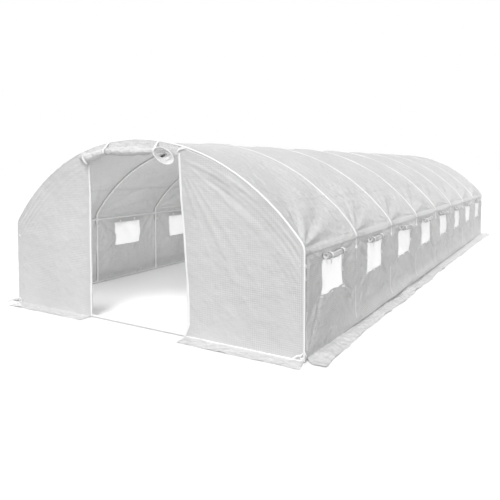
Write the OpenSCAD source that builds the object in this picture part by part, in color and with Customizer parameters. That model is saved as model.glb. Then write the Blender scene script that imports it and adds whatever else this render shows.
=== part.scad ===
// Polytunnel greenhouse: a frame of bent tube hoops under a woven cover.
// Millimetres. X is across the tunnel, Y along it, Z up. The front end with its door faces -Y.
// The origin is on the ground at the middle of the tunnel.

/* [Frame] */
// width over the posts
tunnel_w = 4000; // [3000:50:5000]
// height over the hoop tubes at the ridge
tunnel_h = 2000; // [1800:25:2200]
// height at which the posts end and the shoulder bends start
post_h = 975; // [850:5:1100]
// distance between hoops
bay_l = 1250; // [1000:25:1600]
// number of bays along the tunnel
bay_count = 8; // [3:1:12]
// outside diameter of every tube
tube_d = 25; // [19:1:38]
// radius of the shoulder bend at the middle of the tube
shoulder_r = 120; // [80:5:240]

/* [Fittings] */
// length of the sleeve that joins two tubes
sleeve_l = 70; // [50:2:100]
// wall of a sleeve
sleeve_wall = 3.2; // [2:0.1:5]
// wall of a side socket, thinner than the sleeve's
socket_wall = 2.5; // [1.5:0.1:4]
// depth of a side socket
socket_l = 40; // [25:1:60]
// height of the foot fittings
foot_h = 70; // [50:2:120]
// thickness of the closed bottom of a foot fitting
foot_floor = 5; // [3:0.5:10]

/* [Cover] */
// thickness of every cover sheet
cover_t = 2; // [1:0.5:5]
// length of the strip from the shoulder bend up to the roof seam
eave_strip_l = 520; // [300:10:700]
// width of the flaps on the ground along the sides
side_flap_w = 180; // [100:10:300]
// width of the flaps on the ground at the ends
end_flap_w = 170; // [100:10:300]
// how far a side flap stops short of the end panels
flap_notch = 60; // [0:5:120]

/* [Door] */
// clear width of each door
door_w = 1380; // [900:10:1600]
// height of the band of cover left above a door, measured from the ridge
door_band = 105; // [80:1:200]
// radius of a door's curved top edge, which the rolled-up door follows
door_top_r = 3900; // [2800:50:6000]
// diameter of the rolled-up door
door_roll_d = 104; // [70:2:140]
// length of the rolled-up door
door_roll_l = 1450; // [1000:10:1700]
// how far the rolled-up door sits to one side
door_roll_shift = 100; // [0:5:120]
// distance between the two ties of a door
door_tie_span = 720; // [400:10:900]
// width of a door tie
door_tie_w = 30; // [15:1:50]

/* [Windows] */
// width of a window
window_w = 520; // [300:10:600]
// height of a window
window_h = 350; // [200:10:400]
// distance from the shoulder purlin down to a window
window_drop = 75; // [60:5:150]
// how far the net reaches past the window's edges
net_margin = 22; // [10:1:40]
// thickness of the net
net_t = 1.5; // [1:0.5:3]
// diameter of a rolled-up window flap
window_roll_d = 64; // [40:2:90]
// length of a rolled-up window flap
window_roll_l = 620; // [300:10:700]
// how far a rolled-up window flap sits to one side
window_roll_shift = 40; // [0:5:60]
// distance between the two ties of a window flap
window_tie_span = 300; // [150:10:400]
// width of a window tie
window_tie_w = 22; // [10:1:40]

/* [Small parts] */
// thickness of every tie
tie_t = 2; // [1:0.5:4]
// diameter of the cover buttons and the clips behind them
button_d = 32; // [20:1:50]
// thickness of a cover button
button_t = 8; // [4:1:15]
// how far the buttons are below the shoulder purlins
button_drop = 90; // [60:5:200]

/* [Hidden] */
// true circles
$fn = 96;
// finer steps for the long arcs of the roof
arch_fn = 480;
// steps around a tube
round_fn = 64;
// clearance between a tube and its fitting, and between the frame and the cover
fit_gap = 0.3;
// space between two tube ends that meet in one sleeve
end_gap = 2;
// half of a length
half_share = 1 / 2;
// radii of the tube, of a bore for it, of a sleeve and of a side socket
tube_r = tube_d * half_share;
bore_r = tube_r + fit_gap;
sleeve_r = bore_r + sleeve_wall;
socket_r = bore_r + socket_wall;
// half of the tunnel's length between the end hoops
half_l = bay_l * bay_count * half_share;
// number of hoops
hoop_count = bay_count + 1;
// middle of the posts
post_x = tunnel_w * half_share - tube_r;
// middle of the ridge tube ends
ridge_z = tunnel_h - tube_r;
// rise of the arch above the posts
rise = ridge_z - post_h;
// middle of the shoulder bends
bend_x = post_x - shoulder_r;
// radius of the roof arch, tangent to both shoulder bends
arch_r = (bend_x * bend_x + rise * rise - shoulder_r * shoulder_r) / (2 * (rise - shoulder_r));
// height of the middle of the roof arch, below the ground
arch_z = ridge_z - arch_r;
// angle of the arch from the ridge to the shoulder bend
arch_a = atan2(bend_x, arch_r - rise);
// angle that a shoulder bend turns through
bend_a = 90 - arch_a;
// degrees in an arch length of one unit
arch_degrees = 180 / (PI * arch_r);
// height of the shoulder purlins
purlin_z = post_h - sleeve_l * half_share;
// height of the base rails
rail_z = sleeve_r;
// start of a side tube, measured from the hoop it plugs into
plug_y = sleeve_r + end_gap;
// reach of a side socket from the hoop
reach = sleeve_r + socket_l;
// inner face of the cover, measured from the middle of the tubes
cover_off = sleeve_r + fit_gap;
// outer face of the cover, measured from the middle of the tubes
cover_out = cover_off + cover_t;
// inner and outer face of the side walls
wall_x = post_x + cover_off;
wall_out = post_x + cover_out;
// inner and outer face of the end panels
end_y = half_l + cover_off;
end_out = half_l + cover_out;
// angle of the roof seams from the ridge
seam_a = arch_a - eave_strip_l * arch_degrees;
// middle of the door posts, just behind the edge of the panels
door_x = door_w * half_share + tube_r;
// slope of the arch where a door post meets it
door_a = asin(door_x / arch_r);
// height of the arch above a door post
door_arch_z = arch_z + sqrt(arch_r * arch_r - door_x * door_x);
// top of a door post
door_post_top = door_arch_z - sleeve_r - socket_l * half_share;
// height of a door at its middle, and of the middle of the curve of its top edge
door_h = ridge_z - door_band;
door_top_z = door_h - door_top_r;
// degrees in a length of one unit along the rolled-up door
roll_degrees = 180 / (PI * door_top_r);
// radii of a rolled-up door and of its ties
door_roll_r = door_roll_d * half_share;
door_tie_in = door_roll_r + fit_gap;
door_tie_r = door_tie_in + tie_t;
// middle of a rolled-up door in front of the end hoop
door_roll_y = end_out + door_tie_r + fit_gap;
// radii of a rolled-up window flap and of its ties
window_roll_r = window_roll_d * half_share;
window_tie_in = window_roll_r + fit_gap;
window_tie_r = window_tie_in + tie_t;
// middle of a rolled-up window flap
window_roll_x = wall_out + window_tie_r + fit_gap;
window_roll_z = purlin_z - window_drop;
// lower edge of a window
window_z = window_roll_z - window_h;
// height of the cover buttons
button_z = purlin_z - button_drop;
// far enough to cut right through anything
far = 2 * tunnel_w;

steel = [0.86, 0.87, 0.88];
fitting = [0.93, 0.93, 0.92];
cloth = [0.84, 0.85, 0.86];
net = [0.95, 0.95, 0.95];
tape = [0.97, 0.97, 0.97];

// distance of hoop i, counted from 1 at the front, along the tunnel
function hoop_y(i) = (i - 1) * bay_l - half_l;
// middle of bay i, counted from 1 at the front
function bay_y(i) = hoop_y(i) + bay_l * half_share;

// turns a shape drawn flat so that it stands across the tunnel
module across() {
    rotate([90, 0, 0]) children();
}

// the same shape on both sides of the tunnel
module both_sides() {
    children();
    mirror([1, 0, 0]) children();
}

// the same shape at the front and turned half round at the back
module both_ends() {
    children();
    rotate([0, 0, 180]) children();
}

// a rod along the tunnel
module rod_along(x, z, from_y, to_y, r) {
    translate([x, from_y, z]) rotate([-90, 0, 0]) cylinder(r = r, h = to_y - from_y);
}

// a rod across the tunnel
module rod_across(y, z, from_x, to_x, r) {
    translate([from_x, y, z]) rotate([0, 90, 0]) cylinder(r = r, h = to_x - from_x);
}

// a round bar bent to a radius, drawn flat, from one angle over a span
module bent_bar(bend, from_a, span_a, r) {
    rotate([0, 0, from_a]) rotate_extrude(angle = span_a, $fn = arch_fn)
        translate([bend, 0]) circle(r = r, $fn = round_fn);
}

// a round bar along the roof arch, standing, from one angle over a span, both from the +X axis
module arch_bar(from_a, span_a, r) {
    translate([0, 0, arch_z]) across() bent_bar(arch_r, from_a, span_a, r);
}

// right shoulder tube of a hoop: a short straight end and the shoulder bend
module shoulder_tube() {
    start_z = purlin_z + end_gap * half_share;
    union() {
        translate([post_x, 0, start_z]) cylinder(r = tube_r, h = post_h - start_z);
        translate([bend_x, 0, post_h]) across() bent_bar(shoulder_r, 0, bend_a, tube_r);
    }
}

// right roof tube of a hoop: half of the arch, pushed on to the shoulder tube
module roof_tube() {
    start_a = bend_a + fit_gap * arch_degrees;
    end_a = 90 - end_gap * half_share * arch_degrees;
    arch_bar(start_a, end_a - start_a, tube_r);
}

// right post, from the foot fitting up to the middle of the shoulder fitting
module post_tube() {
    top_z = purlin_z - end_gap * half_share;
    translate([post_x, 0, foot_floor]) cylinder(r = tube_r, h = top_z - foot_floor);
}

// one hoop
module hoop(i) {
    color(steel) translate([0, hoop_y(i), 0]) both_sides() {
        post_tube();
        shoulder_tube();
        roof_tube();
    }
}

// one line of tubes from hoop to hoop
module tube_line(x, z) {
    color(steel) for (i = [1 : bay_count])
        rod_along(x, z, hoop_y(i) + plug_y, hoop_y(i + 1) - plug_y, tube_r);
}

// one tube between the two corner fittings of the front end
module front_rail() {
    inner_x = post_x - plug_y;
    color(steel) rod_across(-half_l, rail_z, -inner_x, inner_x, tube_r);
}

// the pair of door posts of the front end
module door_post_pair() {
    foot_z = rail_z + plug_y;
    color(steel) both_sides() translate([door_x, -half_l, foot_z])
        cylinder(r = tube_r, h = door_post_top - foot_z);
}

// outside of the side sockets of hoop i
module socket_shells(i, x, z) {
    if (i > 1) rod_along(x, z, -reach, 0, socket_r);
    if (i < hoop_count) rod_along(x, z, 0, reach, socket_r);
}

// bores of the side sockets of hoop i
module socket_bores(i, x, z) {
    if (i > 1) rod_along(x, z, -far, -sleeve_r, bore_r);
    if (i < hoop_count) rod_along(x, z, sleeve_r, far, bore_r);
}

// cross fitting at the ridge of hoop i
module ridge_cross(i) {
    sleeve_a = sleeve_l * arch_degrees;
    translate([0, hoop_y(i), 0]) difference() {
        union() {
            arch_bar(90 - sleeve_a * half_share, sleeve_a, sleeve_r);
            socket_shells(i, 0, ridge_z);
        }
        arch_bar(90 - sleeve_a, 2 * sleeve_a, bore_r);
        socket_bores(i, 0, ridge_z);
    }
}

// cross fitting at the right shoulder of hoop i
module shoulder_cross(i) {
    low_z = purlin_z - sleeve_l * half_share;
    translate([0, hoop_y(i), 0]) difference() {
        union() {
            translate([post_x, 0, low_z]) cylinder(r = sleeve_r, h = sleeve_l);
            socket_shells(i, post_x, purlin_z);
        }
        translate([post_x, 0, low_z - sleeve_l]) cylinder(r = bore_r, h = far);
        socket_bores(i, post_x, purlin_z);
    }
}

// foot fitting of the right post of hoop i, with a third socket at the corners
module foot_fitting(i) {
    corner = i == 1 || i == hoop_count;
    translate([0, hoop_y(i), 0]) difference() {
        union() {
            translate([post_x, 0, 0]) cylinder(r = sleeve_r, h = foot_h);
            socket_shells(i, post_x, rail_z);
            if (corner) rod_across(0, rail_z, post_x - reach, post_x, socket_r);
        }
        translate([post_x, 0, foot_floor]) cylinder(r = bore_r, h = far);
        socket_bores(i, post_x, rail_z);
        if (corner) rod_across(0, rail_z, 0, post_x - sleeve_r, bore_r);
    }
}

// tee on the front base rail under the right door post
module door_foot_tee() {
    half_tee = sleeve_l * half_share;
    translate([0, -half_l, 0]) difference() {
        union() {
            rod_across(0, rail_z, door_x - half_tee, door_x + half_tee, sleeve_r);
            translate([door_x, 0, rail_z]) cylinder(r = socket_r, h = reach);
        }
        rod_across(0, rail_z, 0, far, bore_r);
        translate([door_x, 0, rail_z + sleeve_r]) cylinder(r = bore_r, h = far);
    }
}

// tee on the front hoop above the right door post
module door_head_tee() {
    sleeve_a = sleeve_l * arch_degrees;
    low_z = door_post_top - socket_l * half_share;
    translate([0, -half_l, 0]) difference() {
        union() {
            arch_bar(90 - door_a - sleeve_a * half_share, sleeve_a, sleeve_r);
            translate([door_x, 0, low_z]) cylinder(r = socket_r, h = door_arch_z - low_z);
        }
        arch_bar(90 - door_a - sleeve_a, 2 * sleeve_a, bore_r);
        translate([door_x, 0, low_z - socket_l])
            cylinder(r = bore_r, h = door_post_top + end_gap - low_z + socket_l);
    }
}

// a box cut out of a wall for the window of bay i
module window_cut(i) {
    translate([0, bay_y(i) - window_w * half_share, window_z]) cube([far, window_w, window_h]);
}

// right wall of the cover, with its windows
module wall_sheet() {
    difference() {
        translate([wall_x, -end_y, cover_t]) cube([cover_t, 2 * end_y, post_h - cover_t]);
        for (i = [1 : bay_count]) window_cut(i);
    }
}

// a slice of the cover's section, between two angles from the ridge and above the posts
module cover_slice(from_a, to_a) {
    translate([0, end_y, 0]) across() linear_extrude(2 * end_y) intersection() {
        difference() {
            gable(cover_out);
            gable(cover_off);
        }
        polygon([[0, arch_z], [far * sin(from_a), arch_z + far * cos(from_a)],
            [far * sin(to_a), arch_z + far * cos(to_a)]]);
        translate([0, post_h]) square([far, far]);
    }
}

// right eave: the strip over the shoulder bend and up to the roof seam
module eave_sheet() {
    cover_slice(seam_a, 90 - bend_a * half_share);
}

// right half of the roof, from the ridge to the seam
module roof_sheet() {
    cover_slice(0, seam_a);
}

// outline of an end of the tunnel, grown outwards
module gable(grow) {
    wall = post_x + grow;
    union() {
        translate([-wall, cover_t]) square([2 * wall, post_h - cover_t]);
        translate([bend_x, post_h]) circle(r = shoulder_r + grow);
        translate([-bend_x, post_h]) circle(r = shoulder_r + grow);
        intersection() {
            translate([0, arch_z]) circle(r = arch_r + grow, $fn = arch_fn);
            polygon([[0, arch_z], [far * sin(arch_a), arch_z + far * cos(arch_a)],
                [-far * sin(arch_a), arch_z + far * cos(arch_a)]]);
        }
    }
}

// stands a flat outline against the outside of the front end
module front_sheet() {
    translate([0, -end_y, 0]) across() linear_extrude(cover_t) children();
}

// right panel of the front end, beside the door
module side_panel() {
    color(cloth) front_sheet() intersection() {
        gable(cover_out);
        translate([door_w * half_share, 0]) square([far, far]);
    }
}

// band of the front end above the door
module top_panel() {
    color(cloth) front_sheet() intersection() {
        difference() {
            translate([0, arch_z]) circle(r = arch_r + cover_out, $fn = arch_fn);
            translate([0, door_top_z]) circle(r = door_top_r, $fn = arch_fn);
        }
        translate([-door_w * half_share, 0]) square([door_w, far]);
    }
}

// right flap on the ground
module side_flap() {
    flap_y = end_y - flap_notch;
    color(cloth) translate([wall_x, -flap_y, 0]) cube([side_flap_w, 2 * flap_y, cover_t]);
}

// pair of flaps on the ground at the front end
module end_flap_pair() {
    inner_x = door_w * half_share;
    color(cloth) both_sides() translate([inner_x, -end_y - end_flap_w, 0])
        cube([wall_out - inner_x, end_flap_w, cover_t]);
}

// a round bar along the rolled-up front door, with its middle a length off to one side
module door_roll_bar(off, length, r) {
    span_a = length * roll_degrees;
    mid_a = 90 + off * roll_degrees;
    translate([0, -door_roll_y, door_top_z]) across()
        bent_bar(door_top_r, mid_a - span_a * half_share, span_a, r);
}

// the front door, rolled up
module door_roll() {
    color(cloth) door_roll_bar(door_roll_shift, door_roll_l, door_roll_r);
}

// one tie of the rolled-up front door
module door_tie(off) {
    difference() {
        door_roll_bar(off, door_tie_w, door_tie_r);
        door_roll_bar(off, 2 * door_tie_w, door_tie_in);
    }
}

// the ties of both rolled-up doors
module door_ties() {
    half_span = door_tie_span * half_share;
    color(tape) both_ends() {
        door_tie(door_roll_shift - half_span);
        door_tie(door_roll_shift + half_span);
    }
}

// the net behind every window
module window_nets() {
    net_w = window_w + 2 * net_margin;
    net_h = window_h + 2 * net_margin;
    color(net) both_sides() for (i = [1 : bay_count])
        translate([wall_x - net_t, bay_y(i) - net_w * half_share, window_z - net_margin])
            cube([net_t, net_w, net_h]);
}

// the flap above every window, rolled up
module window_rolls() {
    half_roll = window_roll_l * half_share;
    color(cloth) both_sides() for (i = [1 : bay_count])
        translate([0, bay_y(i) + window_roll_shift, 0])
            rod_along(window_roll_x, window_roll_z, -half_roll, half_roll, window_roll_r);
}

// a tie around a rolled-up window flap, with its middle at y
module window_tie(y) {
    half_tie = window_tie_w * half_share;
    difference() {
        rod_along(window_roll_x, window_roll_z, y - half_tie, y + half_tie, window_tie_r);
        rod_along(window_roll_x, window_roll_z, y - window_tie_w, y + window_tie_w, window_tie_in);
    }
}

// the ties of every window flap
module window_ties() {
    half_span = window_tie_span * half_share;
    color(tape) both_sides() for (i = [1 : bay_count]) {
        window_tie(bay_y(i) - half_span);
        window_tie(bay_y(i) + half_span);
    }
}

// the buttons on the outside of the cover at every post
module cover_buttons() {
    color(tape) both_sides() for (i = [1 : hoop_count])
        rod_across(hoop_y(i), button_z, wall_out, wall_out + button_t, button_d * half_share);
}

// the clips behind the buttons, on the inside of every post
module post_clips() {
    color(tape) both_sides() for (i = [1 : hoop_count]) difference() {
        rod_across(hoop_y(i), button_z, post_x - tube_r - button_t, post_x, button_d * half_share);
        translate([post_x, hoop_y(i), 0]) cylinder(r = bore_r, h = purlin_z);
    }
}

for (i = [1 : hoop_count]) hoop(i);
tube_line(0, ridge_z);  // ridge_purlin
tube_line(-post_x, purlin_z);  // left_purlin
tube_line(post_x, purlin_z);  // right_purlin
tube_line(-post_x, rail_z);  // left_base_rail
tube_line(post_x, rail_z);  // right_base_rail
front_rail();  // front_base_rail
rotate([0, 0, 180]) front_rail();  // back_base_rail
door_post_pair();  // front_door_posts
rotate([0, 0, 180]) door_post_pair();  // back_door_posts
color(fitting) for (i = [1 : hoop_count]) ridge_cross(i);  // ridge_connectors
color(fitting) both_sides() for (i = [1 : hoop_count]) shoulder_cross(i);  // shoulder_connectors
color(fitting) both_sides() for (i = [1 : hoop_count]) foot_fitting(i);  // foot_connectors
color(fitting) both_ends() both_sides() {  // door_tees
    door_foot_tee();
    door_head_tee();
}
color(cloth) mirror([1, 0, 0]) wall_sheet();  // left_wall_cover
color(cloth) wall_sheet();  // right_wall_cover
color(cloth) mirror([1, 0, 0]) eave_sheet();  // left_eave_cover
color(cloth) eave_sheet();  // right_eave_cover
color(cloth) mirror([1, 0, 0]) roof_sheet();  // left_roof_cover
color(cloth) roof_sheet();  // right_roof_cover
mirror([1, 0, 0]) side_panel();  // front_left_panel
side_panel();  // front_right_panel
top_panel();  // front_top_panel
rotate([0, 0, 180]) side_panel();  // back_left_panel
rotate([0, 0, 180]) mirror([1, 0, 0]) side_panel();  // back_right_panel
rotate([0, 0, 180]) top_panel();  // back_top_panel
mirror([1, 0, 0]) side_flap();  // left_ground_flap
side_flap();  // right_ground_flap
end_flap_pair();  // front_ground_flaps
rotate([0, 0, 180]) end_flap_pair();  // back_ground_flaps
door_roll();  // front_door_roll
rotate([0, 0, 180]) door_roll();  // back_door_roll
door_ties();
window_nets();
window_rolls();
window_ties();
cover_buttons();
post_clips();
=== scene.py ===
"""Looks of a polytunnel greenhouse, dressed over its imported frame.

The tubes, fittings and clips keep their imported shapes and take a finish. Every sheet of the cover, with its
hems, tapes, rolled door, rolled window flaps, nets and ground flaps, is modelled here as the cloth it is.
X runs across the tunnel, Y along it from the front door (low Y) to the back, and Z up, in metres.
"""

import logging
import math
from dataclasses import dataclass, field
from enum import Enum

import bpy
import numpy as np
from bpy.types import Material, Node, NodeSocket, NodeTree, Object
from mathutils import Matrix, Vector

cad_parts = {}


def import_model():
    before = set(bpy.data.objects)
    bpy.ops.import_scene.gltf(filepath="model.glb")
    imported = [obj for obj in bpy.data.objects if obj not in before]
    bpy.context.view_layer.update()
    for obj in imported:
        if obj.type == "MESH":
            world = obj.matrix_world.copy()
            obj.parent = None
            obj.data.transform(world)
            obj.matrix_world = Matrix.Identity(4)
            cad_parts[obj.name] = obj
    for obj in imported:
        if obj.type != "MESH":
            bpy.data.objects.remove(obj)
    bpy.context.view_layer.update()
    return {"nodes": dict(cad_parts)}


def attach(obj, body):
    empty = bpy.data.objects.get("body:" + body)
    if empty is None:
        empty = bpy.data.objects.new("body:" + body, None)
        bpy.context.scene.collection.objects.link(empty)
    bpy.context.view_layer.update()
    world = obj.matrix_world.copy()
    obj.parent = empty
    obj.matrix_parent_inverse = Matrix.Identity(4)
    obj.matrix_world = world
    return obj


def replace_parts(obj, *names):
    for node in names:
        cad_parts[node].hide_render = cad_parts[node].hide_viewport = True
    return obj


LOG = logging.getLogger("polytunnel")
BODY = "root"
FLAT_UV = "cut_cloth_metres"
# Numbers in rows and columns, and sizes that come in twos, in threes, in a row or in a row of twos.
Grid = np.ndarray
Pair = tuple[float, float]
Triple = tuple[float, float, float]
Row = tuple[float, ...]
Pairs = tuple[Pair, ...]


class Side(Enum):
    """The two long sides, by the sign of X."""

    RIGHT = 1
    LEFT = -1


class End(Enum):
    """The two ends, by the turn about Z that carries the front there."""

    FRONT = 1
    BACK = -1


def linear(colour: str) -> tuple[float, float, float, float]:
    """Turns an sRGB hex colour to linear light.

    Args:
        colour: six hex digits.

    Returns:
        Red, green, blue and an alpha of one.
    """
    parts = [int(colour[i : i + 2], 16) / 255 for i in (0, 2, 4)]
    light = [p / 12.92 if p <= 0.04045 else ((p + 0.055) / 1.055) ** 2.4 for p in parts]
    return (*light, 1.0)


def smooth(value: Grid) -> Grid:
    """Eases 0 to 1 with flat ends, and holds outside."""
    t = np.clip(value, 0.0, 1.0)
    return t * t * (3 - 2 * t)


def through(x: Grid, knots: Row, values: Row) -> Grid:
    """Runs a smooth curve through given values.

    Args:
        x: where to read it.
        knots: the places of the values, rising.
        values: what the curve takes there.

    Returns:
        The curve at x, held beyond the first and last place.
    """
    at, value = np.array(knots), np.array(values)
    slope = np.gradient(value, at)
    x = np.clip(x, at[0], at[-1])
    i = np.clip(np.searchsorted(at, x, side="right") - 1, 0, len(at) - 2)
    step = at[i + 1] - at[i]
    t = (x - at[i]) / step
    lean = step * t * (1 - t) * (slope[i] * (1 - t) - slope[i + 1] * t)
    return value[i] * (1 - smooth(t)) + value[i + 1] * smooth(t) + lean


def join(*parts: Grid) -> Grid:
    """Grows coordinates to the same rows and columns and joins them into places."""
    return np.stack(np.broadcast_arrays(*parts), axis=-1)


def hump(off: Grid, width: float) -> Grid:
    """Gives a smooth hump of one at no offset, nearly gone at twice its width."""
    return np.exp(-((off / width) ** 2))


def swell(reach: Grid, length: float) -> Grid:
    """Gives a fold's run: nothing at its root, full at its length, and dying away beyond."""
    return reach / length * np.exp(1 - reach / length)


def ribbon(path: Grid, across: Grid, width: float) -> tuple[Grid, Grid]:
    """Lays a flat tape along a path.

    Args:
        path: places along the tape's middle.
        across: the direction of its width.
        width: its width.

    Returns:
        Rows by columns of places, and their places on the flat tape.
    """
    step = np.linspace(-width / 2, width / 2, 4)
    run = np.concatenate([[0.0], np.cumsum(np.linalg.norm(np.diff(path, axis=0), axis=1))])
    points = path[:, None, :] + step[None, :, None] * across / np.linalg.norm(across)
    return points, join(step[None, :], run[:, None])


def waves(u: Grid, v: Grid, seed: int) -> Grid:
    """Gives smooth seeded noise, with one bump per unit.

    Args:
        u: first coordinate, in bumps.
        v: second coordinate, in bumps.
        seed: picks the pattern.

    Returns:
        Values from -1 to 1, shaped as u and v together.
    """
    size = 61
    lattice = np.random.default_rng(seed).uniform(-1, 1, (size, size))
    u, v = np.broadcast_arrays(np.asarray(u, float), np.asarray(v, float))
    i, j = np.floor(u).astype(int), np.floor(v).astype(int)
    a, b = smooth(u - i), smooth(v - j)
    low = lattice[i % size, j % size] * (1 - a) + lattice[(i + 1) % size, j % size] * a
    high = lattice[i % size, (j + 1) % size] * (1 - a) + lattice[(i + 1) % size, (j + 1) % size] * a
    return low * (1 - b) + high * b


@dataclass(frozen=True)
class Ripple:
    """Soft rumples in a sheet: their height, their spacing along and up the sheet, and how they slant."""

    height: float
    along: float
    up: float
    slant: float = math.inf

    def at(self, run: Grid, rise: Grid, seed: int) -> Grid:
        """Gives the rumples at places along and up the sheet, with the pattern that a seed picks."""
        return self.height * waves(run / self.along + rise / self.slant, rise / self.up, seed)


def add_node(
    tree: NodeTree,
    kind: str,
    settings: dict[str | int, object] | None = None,
    links: dict[str | int, NodeSocket] | None = None,
) -> Node:
    """Adds one shader node.

    Args:
        tree: the material's nodes.
        kind: the node's type, without the prefix that all of them share.
        settings: values for its properties or inputs, by name or number.
        links: outputs that feed its inputs, by name or number.

    Returns:
        The new node.
    """
    node = tree.nodes.new(f"ShaderNode{kind}")
    for key, value in (settings or {}).items():
        if isinstance(key, str) and hasattr(node, key):
            setattr(node, key, value)
        else:
            node.inputs[key].default_value = value
    for key, socket in (links or {}).items():
        tree.links.new(socket, node.inputs[key])
    return node


def start_material(name: str) -> tuple[Material, NodeTree, Node]:
    """Makes an empty material.

    Args:
        name: what the material is and how its surface was made.

    Returns:
        The material, its nodes and its output node.
    """
    material = bpy.data.materials.new(name)
    material.use_nodes = True
    material.node_tree.nodes.clear()
    return material, material.node_tree, add_node(material.node_tree, "OutputMaterial")


def band_scale(spacing_mm: float) -> float:
    """Gives the wave texture's scale for one band per spacing, on coordinates in metres."""
    return 2 * math.pi / (20 * spacing_mm / 1000)


def thread_grid(tree: NodeTree, spacing_mm: float) -> NodeSocket:
    """Draws crossed threads on the flat cloth.

    Args:
        tree: the material's nodes.
        spacing_mm: the threads' spacing.

    Returns:
        One on the threads, falling to nothing between them.
    """
    flat = add_node(tree, "UVMap", {"uv_map": FLAT_UV}).outputs["UV"]
    settings = {"Scale": band_scale(spacing_mm)}
    warp, weft = (
        add_node(tree, "TexWave", {"bands_direction": way, **settings}, {"Vector": flat}).outputs["Fac"]
        for way in ("X", "Y")
    )
    return add_node(tree, "Math", {"operation": "MAXIMUM"}, {0: warp, 1: weft}).outputs[0]


@dataclass(frozen=True)
class WovenPolyethylene:
    """Polyethylene tape cloth, woven with a stronger grid of threads and laminated on both faces.

    Light passes it as it passes frosted film, the grid shows as faint squares a little whiter than the film,
    and the laminate keeps every crease as a soft line with a low waxy gloss.
    """

    name: str = "woven_polyethylene_laminated"
    film: str = "C9C9C9"
    thread: str = "E6E6E6"
    through: str = "F2F2F2"
    light_through: float = 0.09
    # The real grid is 11 mm, drawn at 20 mm so that it shows at the photograph's distance.
    grid_mm: float = 20.0
    crease_mm: float = 170.0
    crinkle_mm: float = 62.0
    # The laminate is thicker in patches of this size, where the grid fades into the film to an even tone.
    patch_mm: float = 420.0
    faded: float = 0.35
    # The film's own thickness drifts over this length, and this far in tone.
    cloud_mm: float = 600.0
    cloud_depth: float = 0.12
    # A thread is narrow in its spacing, so the wave is sharpened by this power.
    thread_power: float = 9.0
    thread_depth: float = 0.88
    thread_height: float = 0.0018
    crease_height: float = 0.028
    crease_share: float = 0.55
    roughness: Pair = (0.42, 0.62)
    ior: float = 1.5

    def material(self) -> Material:
        """Builds the shader.

        Returns:
            The finished material.
        """
        made, tree, out = start_material(self.name)
        place = add_node(tree, "TexCoord").outputs["Object"]
        grid = thread_grid(tree, self.grid_mm)
        bare = add_node(tree, "Math", {"operation": "POWER", 1: self.thread_power}, {0: grid})
        patch = add_node(tree, "TexNoise", {"Scale": 1000 / self.patch_mm, "Detail": 2.0}, {"Vector": place})
        shown = add_node(
            tree,
            "MapRange",
            {"From Min": 0.38, "From Max": 0.62, "To Min": 0.15, "To Max": 1.0},
            {"Value": patch.outputs["Fac"]},
        )
        thread = add_node(
            tree,
            "Mix",
            {"data_type": "FLOAT", 2: self.faded},
            {0: shown.outputs[0], 3: bare.outputs[0]},
        )
        cloud = add_node(tree, "TexNoise", {"Scale": 1000 / self.cloud_mm, "Detail": 3.0}, {"Vector": place})
        shade = add_node(
            tree,
            "MapRange",
            {"From Min": 0.3, "From Max": 0.7, "To Min": -self.cloud_depth, "To Max": self.cloud_depth},
            {"Value": cloud.outputs["Fac"]},
        )
        amount = add_node(
            tree,
            "Math",
            {"operation": "MULTIPLY_ADD", "use_clamp": True, 1: self.thread_depth},
            {0: thread.outputs[0], 2: shade.outputs[0]},
        )
        colour = add_node(
            tree,
            "Mix",
            {"data_type": "RGBA", 6: linear(self.film), 7: linear(self.thread)},
            {0: amount.outputs[0]},
        ).outputs[2]
        crease = add_node(
            tree,
            "TexNoise",
            {"noise_type": "RIDGED_MULTIFRACTAL", "Scale": 1000 / self.crease_mm, "Detail": 2.0},
            {"Vector": place},
        )
        crinkle = add_node(
            tree, "TexNoise", {"Scale": 1000 / self.crinkle_mm, "Detail": 4.0}, {"Vector": place}
        )
        folds = add_node(
            tree,
            "Math",
            {"operation": "MULTIPLY_ADD", 1: self.crease_share},
            {0: crease.outputs["Fac"], 2: crinkle.outputs["Fac"]},
        )
        soft = add_node(
            tree,
            "Bump",
            {"Strength": 0.85, "Distance": self.crease_height},
            {"Height": folds.outputs[0]},
        )
        woven = add_node(
            tree,
            "Bump",
            {"Strength": 0.4, "Distance": self.thread_height},
            {"Height": thread.outputs[0], "Normal": soft.outputs[0]},
        )
        gloss = add_node(
            tree,
            "MapRange",
            {"To Min": self.roughness[0], "To Max": self.roughness[1]},
            {"Value": crinkle.outputs["Fac"]},
        )
        face = add_node(
            tree,
            "BsdfPrincipled",
            {"IOR": self.ior},
            {"Base Color": colour, "Roughness": gloss.outputs[0], "Normal": woven.outputs[0]},
        )
        glow = add_node(
            tree, "BsdfTranslucent", {"Color": linear(self.through)}, {"Normal": woven.outputs[0]}
        )
        both = add_node(tree, "MixShader", {0: self.light_through}, {1: face.outputs[0], 2: glow.outputs[0]})
        tree.links.new(both.outputs[0], out.inputs[0])
        return made


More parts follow.
